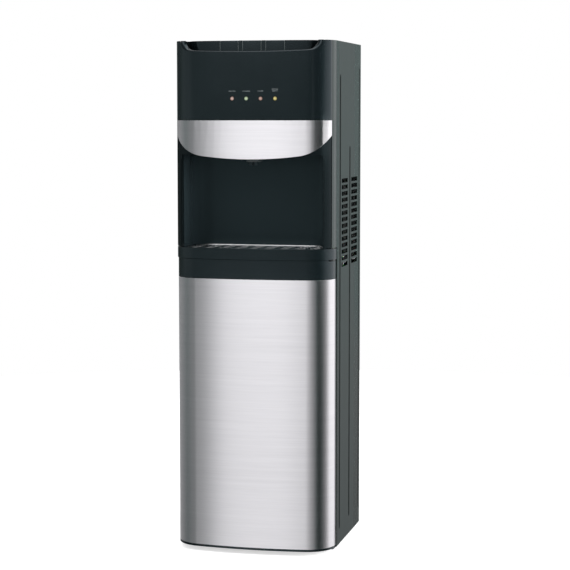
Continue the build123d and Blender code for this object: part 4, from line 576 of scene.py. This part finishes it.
def ink():
    """Pad-printed ink: flat pale grey, thinning slightly at random."""
    material, tree, shader = new_material("printing ink, grey")
    base = bpy.context.scene.dispenser_colours.ink
    thin = grain(tree, (0.8, 0.8, 0.8)).outputs["Fac"]
    darker = shade_of(base, 0.75)
    tree.links.new(tint(tree, thin, darker, base), shader.inputs["Base Color"])
    shader.inputs["Roughness"].default_value = 0.5
    return material


FINISHES = {
    "black_gloss": gloss_abs,
    "black_satin": satin_abs,
    "alcove_black": alcove_abs,
    "side_grey": side_abs,
    "steel_skin": skin_steel,
    "steel_grille": grille_steel,
    "stainless": drawn_steel,
    "spring_wire": drawn_steel,
    "copper": copper,
    "zinc_sheet": zinc_sheet,
    "black_enamel": black_enamel,
    "rubber": rubber,
    "black_nylon": nylon,
    "ferrite": ferrite,
    "white_plastic": white_plastic,
    "grey_plastic": grey_plastic,
    "silicone": silicone,
    "foam": foam,
    "circuit_board": board_laminate,
    "ink": ink,
    # The key ribs' finish is a painted highlight.
    "painted_highlight_rib": painted_highlight_rib,
}
READY = {}


def finish_for(slot):
    """The finish of a slot, made once."""
    if slot not in READY:
        READY[slot] = FINISHES[slot]()
    return READY[slot]


def dress(slot, *nodes):
    """Gives CAD nodes the finish of a slot."""
    for node in nodes:
        paint(node, finish_for(slot))


def paint(node, material):
    """Gives one CAD node a material."""
    piece = FRAME["nodes"][node]
    if not piece.data.materials:
        piece.data.materials.append(material)
    for place in piece.material_slots:
        place.material = material


def add_object(name, data):
    """An object in the scene."""
    made = bpy.data.objects.new(name, data)
    bpy.context.scene.collection.objects.link(made)
    return made


def baked(holder):
    """The plain mesh that an object's letters or modifiers make; the object itself goes."""
    mesh = bpy.data.meshes.new_from_object(holder.evaluated_get(bpy.context.evaluated_depsgraph_get()))
    bpy.data.objects.remove(holder)
    return mesh


def place_piece(name, mesh, body, finish):
    """Puts a mesh in the scene with a finish, riding on a body."""
    mesh.materials.clear()
    mesh.materials.append(finish_for(finish))
    mesh.shade_smooth()
    mesh.set_sharp_from_angle(angle=SHARP_ANGLE)
    piece = add_object(name, mesh)
    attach(piece, body)
    return piece


def joined(node):
    """A copy of a CAD node's loose triangles with their corners joined."""
    shape = bmesh.new()
    shape.from_mesh(FRAME["nodes"][node].data)
    bmesh.ops.remove_doubles(shape, verts=shape.verts, dist=MERGE_GAP)
    return shape


def to_mesh(name, shape):
    """A mesh from a finished shape."""
    mesh = bpy.data.meshes.new(name)
    shape.to_mesh(mesh)
    shape.free()
    return mesh


def carved(mesh, cutter):
    """A mesh with another cut out of it."""
    body = add_object("body", mesh)
    tool = add_object("cutter", cutter)
    cut = body.modifiers.new("cut", "BOOLEAN")
    cut.object = tool
    made = baked(body)
    bpy.data.objects.remove(tool)
    return made


def soften(slot, edge, *nodes, finish=None, cutter=None):
    """Copies of CAD nodes with their facets joined and their edges rounded, which stand for the nodes."""
    for node in nodes:
        shape = joined(node)
        bmesh.ops.dissolve_limit(shape, angle_limit=FLAT_ANGLE, verts=shape.verts, edges=shape.edges)
        name = node + "_finished"
        mesh = to_mesh(name, shape)
        if cutter:
            mesh = carved(mesh, cutter)
        piece = place_piece(name, mesh, FRAME["nodes"][node]["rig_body"], finish or slot)
        bevel = piece.modifiers.new("rounded edges", "BEVEL")
        bevel.width = edge
        bevel.segments = 3
        bevel.limit_method = "ANGLE"
        bevel.angle_limit = ROUND_ANGLE
        weights = piece.modifiers.new("even faces", "WEIGHTED_NORMAL")
        weights.keep_sharp = True
        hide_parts(node)


def key_spring(key):
    """A push key's spring, copied from its CAD node with its corners joined; the real spring shortens by the
    key's travel, and this copy does not.
    """
    node = key + "_spring"
    mesh = to_mesh(node + "_finished", joined(node))
    piece = place_piece(mesh.name, mesh, FRAME["nodes"][node]["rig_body"], "spring_wire")
    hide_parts(node)
    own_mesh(piece)


def plan_y(x, inset=0.0):
    """Where the crowned front and its round corners lie at a distance across, drawn in by an inset."""
    sizes = bpy.context.scene.dispenser_sizes
    reach = sizes.crown_radius - sizes.corner_radius
    crown_y = CAD_BOX[0].y + sizes.crown_radius
    corner_x = CAD_BOX[1].x - sizes.corner_radius
    if abs(x) < (sizes.crown_radius - inset) * corner_x / reach:
        return crown_y - math.sqrt((sizes.crown_radius - inset) ** 2 - x**2)
    corner_y = crown_y - math.sqrt(reach**2 - corner_x**2)
    return corner_y - math.sqrt((sizes.corner_radius - inset) ** 2 - (abs(x) - corner_x) ** 2)


def lip_line():
    """The edge of the hood's scooped lip from left to right: a shallow curve with round ends."""
    sizes = bpy.context.scene.dispenser_sizes
    low_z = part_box("top_hood")[1].z - sizes.lip_depth
    end_x = sizes.lip_half - sizes.lip_turn
    reach = sizes.lip_radius - sizes.lip_turn
    lean = math.asin(end_x / reach)
    end_z = low_z + sizes.lip_radius - math.sqrt(reach**2 - end_x**2)
    right = []
    for step in range(LIP_STEPS + 1):
        turn = lean * step / LIP_STEPS
        right.append((sizes.lip_radius * math.sin(turn), low_z + sizes.lip_radius * (1 - math.cos(turn))))
    for step in range(1, LIP_END_STEPS + 1):
        turn = lean + (math.pi / 2 - lean) * step / LIP_END_STEPS
        right.append((end_x + sizes.lip_turn * math.sin(turn), end_z - sizes.lip_turn * math.cos(turn)))
    both = [(-x, z) for x, z in reversed(right[1:])] + right
    return [Vector((x, plan_y(x), z)) for x, z in both]


def bridge(rings):
    """A closed shape through rings of points."""
    shape = bmesh.new()
    rings = [[shape.verts.new(spot) for spot in ring] for ring in rings]
    for one, two in zip(rings, rings[1:]):
        for index in range(len(one)):
            after = (index + 1) % len(one)
            shape.faces.new((one[index], one[after], two[after], two[index]))
    shape.faces.new(rings[0])
    shape.faces.new(reversed(rings[-1]))
    bmesh.ops.recalc_face_normals(shape, faces=shape.faces)
    return shape


def scoop():
    """What lies over the scooped lip, from in front of the hood to the lip's back."""
    sizes = bpy.context.scene.dispenser_sizes
    clear = 10 * MM
    front = CAD_BOX[0].y - clear
    top = CAD_BOX[1].z + clear
    rings = []
    for point in lip_line():
        back = plan_y(point.x, sizes.rim_depth + sizes.lip_play)
        corners = ((front, point.z), (front, top), (back, top), (back, point.z))
        rings.append([(point.x, y, z) for y, z in corners])
    return to_mesh("scoop", bridge(rings))


def lip_rim():
    """A rounded rim on the scooped lip: low along the middle, wide where the lip turns up."""
    sizes = bpy.context.scene.dispenser_sizes
    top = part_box("top_hood")[1].z
    line = lip_line()
    line = [Vector((*line[0].xy, top)), *line, Vector((*line[-1].xy, top))]
    start, end = RIM_WIDENS
    rings = []
    for index, point in enumerate(line):
        along = line[min(index + 1, len(line) - 1)] - line[max(index - 1, 0)]
        slope = (plan_y(point.x + MM) - plan_y(point.x - MM)) / (2 * MM)
        front = Vector((slope, -1, 0)).normalized()
        inward = front.cross(along).normalized()
        share = min(max((abs(point.x) / sizes.lip_half - start) / (end - start), 0), 1)
        ease = share**2 * (3 - 2 * share)
        rise = sizes.rim_height + (sizes.rim_sweep - sizes.rim_height) * ease
        root = point - inward * sizes.rim_root
        profile = [root - front * (sizes.rim_depth + sizes.rim_root), root - front * sizes.rim_root]
        for step in range(RIM_STEPS + 1):
            turn = math.pi / 2 * step / RIM_STEPS
            back = sizes.rim_depth * (1 - math.cos(turn))
            profile.append(point + inward * rise * math.sin(turn) - front * back)
        profile.append(profile[-1] - front * sizes.rim_root)
        rings.append([(spot.x, spot.y, min(spot.z, top)) for spot in profile])
    place_piece("lip_rim", to_mesh("lip_rim", bridge(rings)), "cabinet", "black_gloss")


def key_ribs(node):
    """A grey rib up each front edge of a push key: a painted highlight of the rounded edge."""
    sizes = bpy.context.scene.dispenser_sizes
    source = FRAME["nodes"][node]
    low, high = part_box(node)
    corners = [vertex.co for vertex in source.data.vertices]
    shape = bmesh.new()
    for side, inward in ((low.x, 1), (high.x, -1)):
        edge = [point for point in corners if abs(point.x - side) < FACE_GAP]
        front = min(point.y for point in edge)
        heights = [point.z for point in edge if point.y < front + FACE_GAP]
        size = Vector((sizes.rib_width, 2 * sizes.rib_height, max(heights) - min(heights)))
        middle = Vector((side + inward * sizes.rib_width / 2, front, (max(heights) + min(heights)) / 2))
        block = bmesh.ops.create_cube(shape, size=1.0)["verts"]
        bmesh.ops.scale(shape, vec=size, verts=block)
        bmesh.ops.translate(shape, vec=middle, verts=block)
    mesh = to_mesh(node + "_ribs", shape)
    place_piece(mesh.name, mesh, source["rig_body"], "painted_highlight_rib")


def legend(name, text, x, z):
    """A printed word that lies on the crowned front, centred on x."""
    sizes = bpy.context.scene.dispenser_sizes
    letters = bpy.data.curves.new(name, "FONT")
    letters.body = text
    letters.size = sizes.legend_height / CAPITAL_SHARE
    letters.align_x = "CENTER"
    letters.space_character = 1.1
    flat = baked(add_object(name, letters))
    for vertex in flat.vertices:
        across = x + vertex.co.x
        vertex.co = Vector((across, plan_y(across, -sizes.legend_stand), z + vertex.co.y))
    place_piece(name, flat, "cabinet", "ink")


def screw_tree(material):
    """A node tree that sets a pan-head screw on every point, with a cross in its head."""
    tree = bpy.data.node_groups.new("pan head screws", "GeometryNodeTree")
    face = tree.interface
    face.new_socket("Points", in_out="INPUT", socket_type="NodeSocketGeometry")
    for name in ("Radius", "Height", "Slot width", "Slot length", "Slot depth"):
        face.new_socket(name, in_out="INPUT", socket_type="NodeSocketFloat")
    face.new_socket("Screws", in_out="OUTPUT", socket_type="NodeSocketGeometry")
    given = add_node(tree, "NodeGroupInput").outputs
    dome = add_node(tree, "GeometryNodeMeshUVSphere", {"Segments": 20, "Rings": 10, "Radius": 1.0})
    sides = {"X": given["Radius"], "Y": given["Height"], "Z": given["Radius"]}
    scale = add_node(tree, "ShaderNodeCombineXYZ", sides)
    links = {"Geometry": dome.outputs["Mesh"], "Scale": scale.outputs["Vector"]}
    head = add_node(tree, "GeometryNodeTransform", links)
    slots = []
    for long_axis in ("X", "Z"):
        sides = {"X": given["Slot width"], "Y": given["Slot depth"], "Z": given["Slot width"]}
        sides[long_axis] = given["Slot length"]
        block = add_node(tree, "ShaderNodeCombineXYZ", sides)
        cube = add_node(tree, "GeometryNodeMeshCube", {"Size": block.outputs["Vector"]})
        lift = add_node(tree, "ShaderNodeCombineXYZ", {"Y": given["Height"]})
        links = {"Geometry": cube.outputs["Mesh"], "Translation": lift.outputs["Vector"]}
        slots.append(add_node(tree, "GeometryNodeTransform", links))
    cut = head
    for slot in slots:
        links = {0: cut.outputs[0], 1: slot.outputs["Geometry"]}
        cut = add_node(tree, "GeometryNodeMeshBoolean", links, operation="DIFFERENCE")
    links = {"Points": given["Points"], "Instance": cut.outputs["Mesh"]}
    placed = add_node(tree, "GeometryNodeInstanceOnPoints", links)
    real = add_node(tree, "GeometryNodeRealizeInstances", {"Geometry": placed.outputs["Instances"]})
    links = {"Geometry": real.outputs["Geometry"], "Material": material}
    made = add_node(tree, "GeometryNodeSetMaterial", links)
    add_node(tree, "NodeGroupOutput", {"Screws": made.outputs["Geometry"]})
    return tree


def screws(name, body, points, material):
    """Pan-head screws that face the back, at the given points."""
    sizes = bpy.context.scene.dispenser_sizes
    seats = bpy.data.meshes.new(name)
    seats.from_pydata(points, [], [])
    holder = add_object(name + "_points", seats)
    maker = holder.modifiers.new("screws", "NODES")
    maker.node_group = screw_tree(material)
    given = {
        "Radius": sizes.screw_radius,
        "Height": sizes.screw_height,
        "Slot width": sizes.slot_width,
        "Slot length": sizes.slot_length,
        "Slot depth": sizes.slot_depth,
    }
    for socket in maker.node_group.interface.items_tree:
        if socket.name in given:
            maker[socket.identifier] = given[socket.name]
    place_piece(name, baked(holder), body, "zinc_sheet")


class DISPENSER_OT_hood(bpy.types.Operator):
    """Dress the hood with its scooped lip"""

    bl_idname = "dispenser.hood"
    bl_label = "Hood"

    def execute(self, context):
        sizes = context.scene.dispenser_sizes
        soften("black_gloss", sizes.moulded_edge, "top_hood", cutter=scoop())
        lip_rim()
        return {"FINISHED"}


class DISPENSER_OT_keys(bpy.types.Operator):
    """Dress the three push keys, their springs and their switches"""

    bl_idname = "dispenser.keys"
    bl_label = "Push keys"

    def execute(self, context):
        keys = ("hot_key", "room_key", "cold_key")
        soften("black_gloss", context.scene.dispenser_sizes.sheet_edge, *keys)
        for key in keys:
            # Grey ribs on each key paint the highlight of its front edges.
            key_ribs(key)
            key_spring(key)
        dress("black_nylon", "key_switches")
        return {"FINISHED"}


class DISPENSER_OT_lamps(bpy.types.Operator):
    """Dress the indicator lamps and their board, and print a legend over each lamp"""

    bl_idname = "dispenser.lamps"
    bl_label = "Indicator lamps"

    def execute(self, context):
        colours = context.scene.dispenser_colours
        sizes = context.scene.dispenser_sizes
        for lamp, lines in LEGENDS.items():
            node = lamp + "_lamp"
            low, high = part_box(node)
            middle = (low + high) / 2
            front = Vector((middle.x, low.y, middle.z))
            paint(node, lens("acrylic lens, " + lamp, getattr(colours, lamp), front))
            for row, text in enumerate(reversed(lines)):
                z = middle.z + sizes.legend_rise + row * sizes.legend_line
                legend(f"{lamp}_legend_{row}", text, middle.x, z)
        dress("circuit_board", "control_board")
        return {"FINISHED"}


class DISPENSER_OT_band(bpy.types.Operator):
    """Dress the brushed band over the alcove"""

    bl_idname = "dispenser.band"
    bl_label = "Steel band"

    def execute(self, context):
        soften("steel_skin", context.scene.dispenser_sizes.sheet_edge, "steel_band")
        return {"FINISHED"}


class DISPENSER_OT_alcove(bpy.types.Operator):
    """Dress the alcove, its nozzle block and its spouts"""

    bl_idname = "dispenser.alcove"
    bl_label = "Alcove"

    def execute(self, context):
        edge = context.scene.dispenser_sizes.moulded_edge
        # The alcove's finish paints its inside lighter than its pillars, against the shade there.
        soften("black_satin", edge, "alcove_liner", finish="alcove_black")
        soften("grey_plastic", edge, "nozzle_block")
        soften("black_satin", context.scene.dispenser_sizes.sheet_edge, "spouts")
        return {"FINISHED"}


class DISPENSER_OT_tray(bpy.types.Operator):
    """Dress the drip tray and its grille"""

    bl_idname = "dispenser.tray"
    bl_label = "Drip tray"

    def execute(self, context):
        sizes = context.scene.dispenser_sizes
        soften("black_gloss", sizes.sheet_edge, "drip_tray")
        soften("steel_grille", sizes.sheet_edge, "drip_grille")
        return {"FINISHED"}


class DISPENSER_OT_door(bpy.types.Operator):
    """Dress the door with its skin, core, caps, bushes and magnet"""

    bl_idname = "dispenser.door"
    bl_label = "Door"

    def execute(self, context):
        sizes = context.scene.dispenser_sizes
        soften("steel_skin", sizes.sheet_edge, "door_skin")
        soften("black_gloss", sizes.sheet_edge, "door_top_cap", "door_bottom_cap")
        soften("black_satin", sizes.moulded_edge, "door_core")
        dress("black_nylon", "hinge_bushes")
        dress("ferrite", "door_magnet")
        return {"FINISHED"}


class DISPENSER_OT_sides(bpy.types.Operator):
    """Dress the side panels with their grooves and louvres"""

    bl_idname = "dispenser.sides"
    bl_label = "Side panels"

    def execute(self, context):
        soften("side_grey", context.scene.dispenser_sizes.sheet_edge, "right_side_panel", "left_side_panel")
        return {"FINISHED"}


class DISPENSER_OT_back(bpy.types.Operator):
    """Dress the back panel with its screws, switches, condenser, drain and cord gland"""

    bl_idname = "dispenser.back"
    bl_label = "Back"

    def execute(self, context):
        dress("zinc_sheet", "back_panel")
        dress("black_enamel", "condenser_tube", "condenser_wires")
        dress("copper", "filter_drier")
        dress("black_nylon", "switch_frames", "cord_gland", "condenser_clips")
        dress("white_plastic", "drain_spout")
        dress("silicone", "drain_cap")
        paint("heater_rocker", rocker_plastic("polycarbonate, red", hex_colour("#a8201c")))
        paint("cooler_rocker", rocker_plastic("polycarbonate, green", hex_colour("#1f8a3c")))
        low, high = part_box("back_panel")
        inset = context.scene.dispenser_sizes.screw_inset
        gap = (high.z - low.z - 2 * inset) / (SCREW_ROWS - 1)
        rows = [low.z + inset + gap * step for step in range(SCREW_ROWS)]
        sides = (low.x + inset, high.x - inset)
        points = [(x, high.y, z) for x in sides for z in rows]
        screws("back_panel_screws", "cabinet", points, finish_for("zinc_sheet"))
        return {"FINISHED"}


class DISPENSER_OT_works(bpy.types.Operator):
    """Dress the tanks, pump, compressor, hoses, pipes and bottle probe"""

    bl_idname = "dispenser.works"
    bl_label = "Works"

    def execute(self, context):
        dress("stainless", "cold_tank", "hot_tank", "heater_band")
        dress("copper", "evaporator_coil", "refrigerant_pipes")
        dress("foam", "cold_tank_foam")
        dress("zinc_sheet", "hot_tank_stand", "machine_shelf", "tank_cradle")
        dress("black_enamel", "compressor")
        dress("rubber", "compressor_grommets")
        dress("silicone", "pump_hoses", "spout_hoses")
        dress("black_nylon", "bottle_pump")
        dress("white_plastic", "probe_cap", "probe_tube", "probe_holder")
        return {"FINISHED"}


class DISPENSER_OT_base(bpy.types.Operator):
    """Dress the base pan, the feet, the hinges and the magnet's keeper"""

    bl_idname = "dispenser.base"
    bl_label = "Base"

    def execute(self, context):
        soften("black_satin", context.scene.dispenser_sizes.moulded_edge, "base_pan")
        dress("rubber", "feet")
        dress("zinc_sheet", "lower_hinge", "upper_hinge", "magnet_keeper")
        return {"FINISHED"}


# Levels of light round the horizon: degrees from straight in front towards the right, and brightness.
SOFT_BOXES = (
    (-180, 0.8), (-122, 0.5), (-100, 0.3), (-86, 0.12), (-70, 0.13), (-58, 0.18), (-44, 0.26), (-36, 0.34),
    (-31, 0.55), (-28, 1.1), (-24, 1.7), (-19, 1.73), (-9, 1.72), (-4, 1.71), (0, 1.52), (6, 1.2),
    (13, 1.0), (22, 0.8), (36, 0.48), (48, 0.14), (56, 0.01), (90, 0.01), (98, 0.34), (108, 1.0),
    (116, 1.5), (148, 1.5), (158, 0.26), (180, 0.24),
)
# The same for the low strip of the studio that upright polished mouldings show.
SKYLINE = (
    (-180, 0.27), (-135, 0.05), (-118, 0.07), (-100, 0.18), (-86, 0.4), (-55, 0.5), (-35, 0.34),
    (-18, 0.18), (0, 0.145), (12, 0.09), (40, 0.07), (58, 0.09), (66, 0.17), (75, 0.4), (88, 0.9),
    (104, 1.15), (146, 1.15), (157, 0.25), (180, 0.23),
)
# Heights in the studio as sines of the angle over the horizon, from where a change starts to where it ends.
SKYLINE_FOOT = (-0.105, -0.13)
SKYLINE_TOP = (0.06, 0.09)
FLOOR_DUSK = (-0.4, -0.04)
ROOF_LIGHT = (0.84, 0.94)
# Shares of the ring's light at the foot and the head of the dusk, and the levels of the roof and the room.
FLOOR_LEVELS = (0.2, 1.15)
ROOF_LEVEL = 2.4
ROOM_LEVEL = 0.85
# Dim light is cool; it turns neutral at these levels in the skyline and in the soft boxes.
DIM_TINT = (0.72, 1.0, 0.97)
BRIGHT_TINT = (1.0, 0.99, 1.01)
NEUTRAL_LEVELS = (0.7, 0.22)
# How brightly the floor glows to the camera, which makes it white.
FLOOR_GLOW = 0.6
WHITE = (1, 1, 1, 1)
# Cards on the right that the band shows: their depth, their reach from the band's top, and their glow.
BAND_CARDS = {
    "band_strip": ((-0.228, -0.02), (-0.08, 0.0), 2.2),
    "band_flag": ((-0.52, -0.3), (-0.12, 0.5), 0.04),
    "band_dusk": ((-0.72, -0.52), (-0.12, 0.5), 0.22),
}


def studio_ring(tree, turn, stops):
    """Levels of light round the horizon, given in degrees from straight in front towards the right."""
    ramp = add_node(tree, "ShaderNodeValToRGB", {"Fac": turn})
    elements = ramp.color_ramp.elements
    peak = max(level for degrees, level in stops)
    elements[1].position = 1.0
    for degrees, level in stops[1:-1]:
        elements.new((degrees + 180) / 360)
    for element, (degrees, level) in zip(elements, stops):
        share = level / peak
        element.color = (share, share, share, 1)
    links = {0: ramp.outputs["Color"], 1: peak}
    return add_node(tree, "ShaderNodeMath", links, operation="MULTIPLY").outputs[0]


def studio_light(tree):
    """The tint and the level of the soft boxes and dark flags that polished surfaces show."""
    place = add_node(tree, "ShaderNodeTexCoord")
    axes = add_node(tree, "ShaderNodeSeparateXYZ", {"Vector": place.outputs["Generated"]}).outputs
    front = add_node(tree, "ShaderNodeMath", {0: axes["Y"], 1: -1.0}, operation="MULTIPLY").outputs[0]
    turn = add_node(tree, "ShaderNodeMath", {0: axes["X"], 1: front}, operation="ARCTAN2").outputs[0]
    limits = {"Value": turn, "From Min": -math.pi, "From Max": math.pi}
    round_ring = add_node(tree, "ShaderNodeMapRange", limits).outputs["Result"]
    boxes = studio_ring(tree, round_ring, SOFT_BOXES)
    skyline = studio_ring(tree, round_ring, SKYLINE)
    away = 0.0
    for start, end in (SKYLINE_FOOT, SKYLINE_TOP):
        limits = {"Value": axes["Z"], "From Min": start, "From Max": end}
        past = add_node(tree, "ShaderNodeMapRange", limits).outputs["Result"]
        away = add_node(tree, "ShaderNodeMath", {0: past, 1: away}, operation="MAXIMUM").outputs[0]
    glow = add_node(tree, "ShaderNodeMix", {"Factor": away, 2: skyline, 3: boxes}).outputs[0]
    (start, end), (low, high) = FLOOR_DUSK, FLOOR_LEVELS
    limits = {"Value": axes["Z"], "From Min": start, "From Max": end, "To Min": low, "To Max": high}
    lift = add_node(tree, "ShaderNodeMapRange", limits).outputs["Result"]
    level = add_node(tree, "ShaderNodeMath", {0: glow, 1: lift}, operation="MULTIPLY").outputs[0]
    start, end = ROOF_LIGHT
    limits = {"Value": axes["Z"], "From Min": start, "From Max": end, "To Max": ROOF_LEVEL}
    roof = add_node(tree, "ShaderNodeMapRange", limits).outputs["Result"]
    level = add_node(tree, "ShaderNodeMath", {0: level, 1: roof}, operation="MAXIMUM").outputs[0]
    low, high = NEUTRAL_LEVELS
    neutral = add_node(tree, "ShaderNodeMix", {"Factor": away, 2: low, 3: high}).outputs[0]
    fade = add_node(tree, "ShaderNodeMapRange", {"Value": glow, "From Max": neutral}).outputs["Result"]
    return tint(tree, fade, DIM_TINT, BRIGHT_TINT), level


def studio_world():
    """White to the camera, a ring of soft boxes to polished surfaces, and an even room to the rest."""
    world = bpy.data.worlds.new("studio")
    bpy.context.scene.world = world
    world.use_nodes = True
    tree = world.node_tree
    tree.nodes.clear()
    shade, level = studio_light(tree)
    boxes = add_node(tree, "ShaderNodeBackground", {"Color": shade, "Strength": level})
    room = add_node(tree, "ShaderNodeBackground", {"Color": WHITE, "Strength": ROOM_LEVEL})
    paper = add_node(tree, "ShaderNodeBackground", {"Color": WHITE, "Strength": 1.0})
    ray = add_node(tree, "ShaderNodeLightPath").outputs
    links = {0: ray["Is Glossy Ray"], 1: room.outputs[0], 2: boxes.outputs[0]}
    seen = add_node(tree, "ShaderNodeMixShader", links)
    links = {0: ray["Is Camera Ray"], 1: ray["Is Transmission Ray"]}
    clear = add_node(tree, "ShaderNodeMath", links, operation="MAXIMUM")
    links = {0: clear.outputs[0], 1: seen.outputs[0], 2: paper.outputs[0]}
    seen = add_node(tree, "ShaderNodeMixShader", links)
    add_node(tree, "ShaderNodeOutputWorld", {"Surface": seen.outputs[0]})


def studio_floor():
    """A white floor that stays white to the camera and keeps the shadow under the dispenser."""
    sizes = bpy.context.scene.dispenser_sizes
    disc = bmesh.new()
    bmesh.ops.create_circle(disc, cap_ends=True, segments=96, radius=sizes.floor_radius)
    floor = add_object("studio_floor", to_mesh("studio_floor", disc))
    material, tree, shader = new_material("studio paper, white")
    shader.inputs["Base Color"].default_value = (0.9, 0.9, 0.9, 1)
    shader.inputs["Roughness"].default_value = 0.9
    shader.inputs["Specular IOR Level"].default_value = 0.0
    ray = add_node(tree, "ShaderNodeLightPath").outputs
    links = {0: ray["Is Camera Ray"], 1: FLOOR_GLOW}
    glow = add_node(tree, "ShaderNodeMath", links, operation="MULTIPLY").outputs[0]
    shader.inputs["Emission Color"].default_value = WHITE
    tree.links.new(glow, shader.inputs["Emission Strength"])
    floor.data.materials.append(material)
    floor.visible_glossy = False


def studio_lamp(name, place, aim, size, power):
    """A soft box that lights without showing as a hard spot in polished surfaces."""
    data = bpy.data.lights.new(name, "AREA")
    data.shape = "DISK"
    data.size = size
    data.energy = power
    lamp = add_object(name, data)
    lamp.location = place
    lamp.rotation_mode = "QUATERNION"
    lamp.rotation_quaternion = (Vector(aim) - Vector(place)).to_track_quat("-Z", "Y")
    lamp.visible_glossy = False


def studio_card(name, depth, height, glow):
    """An upright card on the right, bright or dark, that shows only in polished surfaces."""
    x = bpy.context.scene.dispenser_sizes.card_place
    (front, back), (low, high) = depth, height
    mesh = bpy.data.meshes.new(name)
    mesh.from_pydata([(x, front, low), (x, back, low), (x, back, high), (x, front, high)], [], [(0, 1, 2, 3)])
    material, _, shader = new_material("studio strip light")
    shader.inputs["Base Color"].default_value = (0, 0, 0, 1)
    shader.inputs["Emission Color"].default_value = WHITE
    shader.inputs["Emission Strength"].default_value = glow
    mesh.materials.append(material)
    card = add_object(name, mesh)
    card.visible_camera = False
    card.visible_diffuse = False
    card.visible_transmission = False
    card.visible_shadow = False


def studio_camera():
    """The camera at the photograph's viewing angle."""
    sizes = bpy.context.scene.dispenser_sizes
    data = bpy.data.cameras.new("camera")
    data.sensor_width = 36
    data.lens = sizes.camera_lens
    data.clip_end = 50
    camera = add_object("camera", data)
    camera.location = sizes.camera_place
    level = math.cos(sizes.camera_pitch)
    across = -math.sin(sizes.camera_yaw) * level
    ahead = math.cos(sizes.camera_yaw) * level
    forward = Vector((across, ahead, -math.sin(sizes.camera_pitch)))
    camera.rotation_mode = "QUATERNION"
    camera.rotation_quaternion = forward.to_track_quat("-Z", "Y")
    bpy.context.scene.camera = camera


class DISPENSER_OT_stage(bpy.types.Operator):
    """Set the floor, the lights and the camera"""

    bl_idname = "dispenser.stage"
    bl_label = "Studio"

    def execute(self, context):
        studio_world()
        studio_floor()
        studio_lamp("key_box", place=(-1.6, -2.4, 2.6), aim=(0, 0, 0.6), size=1.6, power=14)
        studio_lamp("fill_box", place=(3.1, -0.66, 1.0), aim=(0, 0, 0.7), size=1.6, power=150)
        band_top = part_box("steel_band")[1].z
        for name, (depth, reach, glow) in BAND_CARDS.items():
            studio_card(name, depth, [band_top + rise for rise in reach], glow)
        studio_camera()
        context.scene.view_settings.view_transform = "Standard"
        return {"FINISHED"}


STEPS = (
    DISPENSER_OT_hood,
    DISPENSER_OT_keys,
    DISPENSER_OT_lamps,
    DISPENSER_OT_band,
    DISPENSER_OT_alcove,
    DISPENSER_OT_tray,
    DISPENSER_OT_door,
    DISPENSER_OT_sides,
    DISPENSER_OT_back,
    DISPENSER_OT_works,
    DISPENSER_OT_base,
    DISPENSER_OT_stage,
)


class DISPENSER_PT_panel(bpy.types.Panel):
    """Lists the steps that dress the dispenser"""

    bl_idname = "DISPENSER_PT_panel"
    bl_label = "Water dispenser"
    bl_space_type = "VIEW_3D"
    bl_region_type = "UI"
    bl_category = "Dispenser"

    def draw(self, context):
        for step in STEPS:
            self.layout.operator(step.bl_idname)
        for group in (context.scene.dispenser_sizes, context.scene.dispenser_colours):
            for name in group.__annotations__:
                self.layout.prop(group, name)


CLASSES = (DispenserColours, DispenserSizes, *STEPS, DISPENSER_PT_panel)


def register():
    """Registers the classes and their settings."""
    for made in CLASSES:
        bpy.utils.register_class(made)
    bpy.types.Scene.dispenser_colours = bpy.props.PointerProperty(type=DispenserColours)
    bpy.types.Scene.dispenser_sizes = bpy.props.PointerProperty(type=DispenserSizes)


def unregister():
    """Removes the settings and the classes."""
    del bpy.types.Scene.dispenser_sizes
    del bpy.types.Scene.dispenser_colours
    for made in reversed(CLASSES):
        bpy.utils.unregister_class(made)


def main():
    """Dresses the dispenser piece by piece."""
    register()
    bpy.ops.dispenser.hood()
    bpy.ops.dispenser.keys()
    bpy.ops.dispenser.lamps()
    bpy.ops.dispenser.band()
    bpy.ops.dispenser.alcove()
    bpy.ops.dispenser.tray()
    bpy.ops.dispenser.door()
    bpy.ops.dispenser.sides()
    bpy.ops.dispenser.back()
    bpy.ops.dispenser.works()
    bpy.ops.dispenser.base()
    bpy.ops.dispenser.stage()


if __name__ == "__main__":
    main()
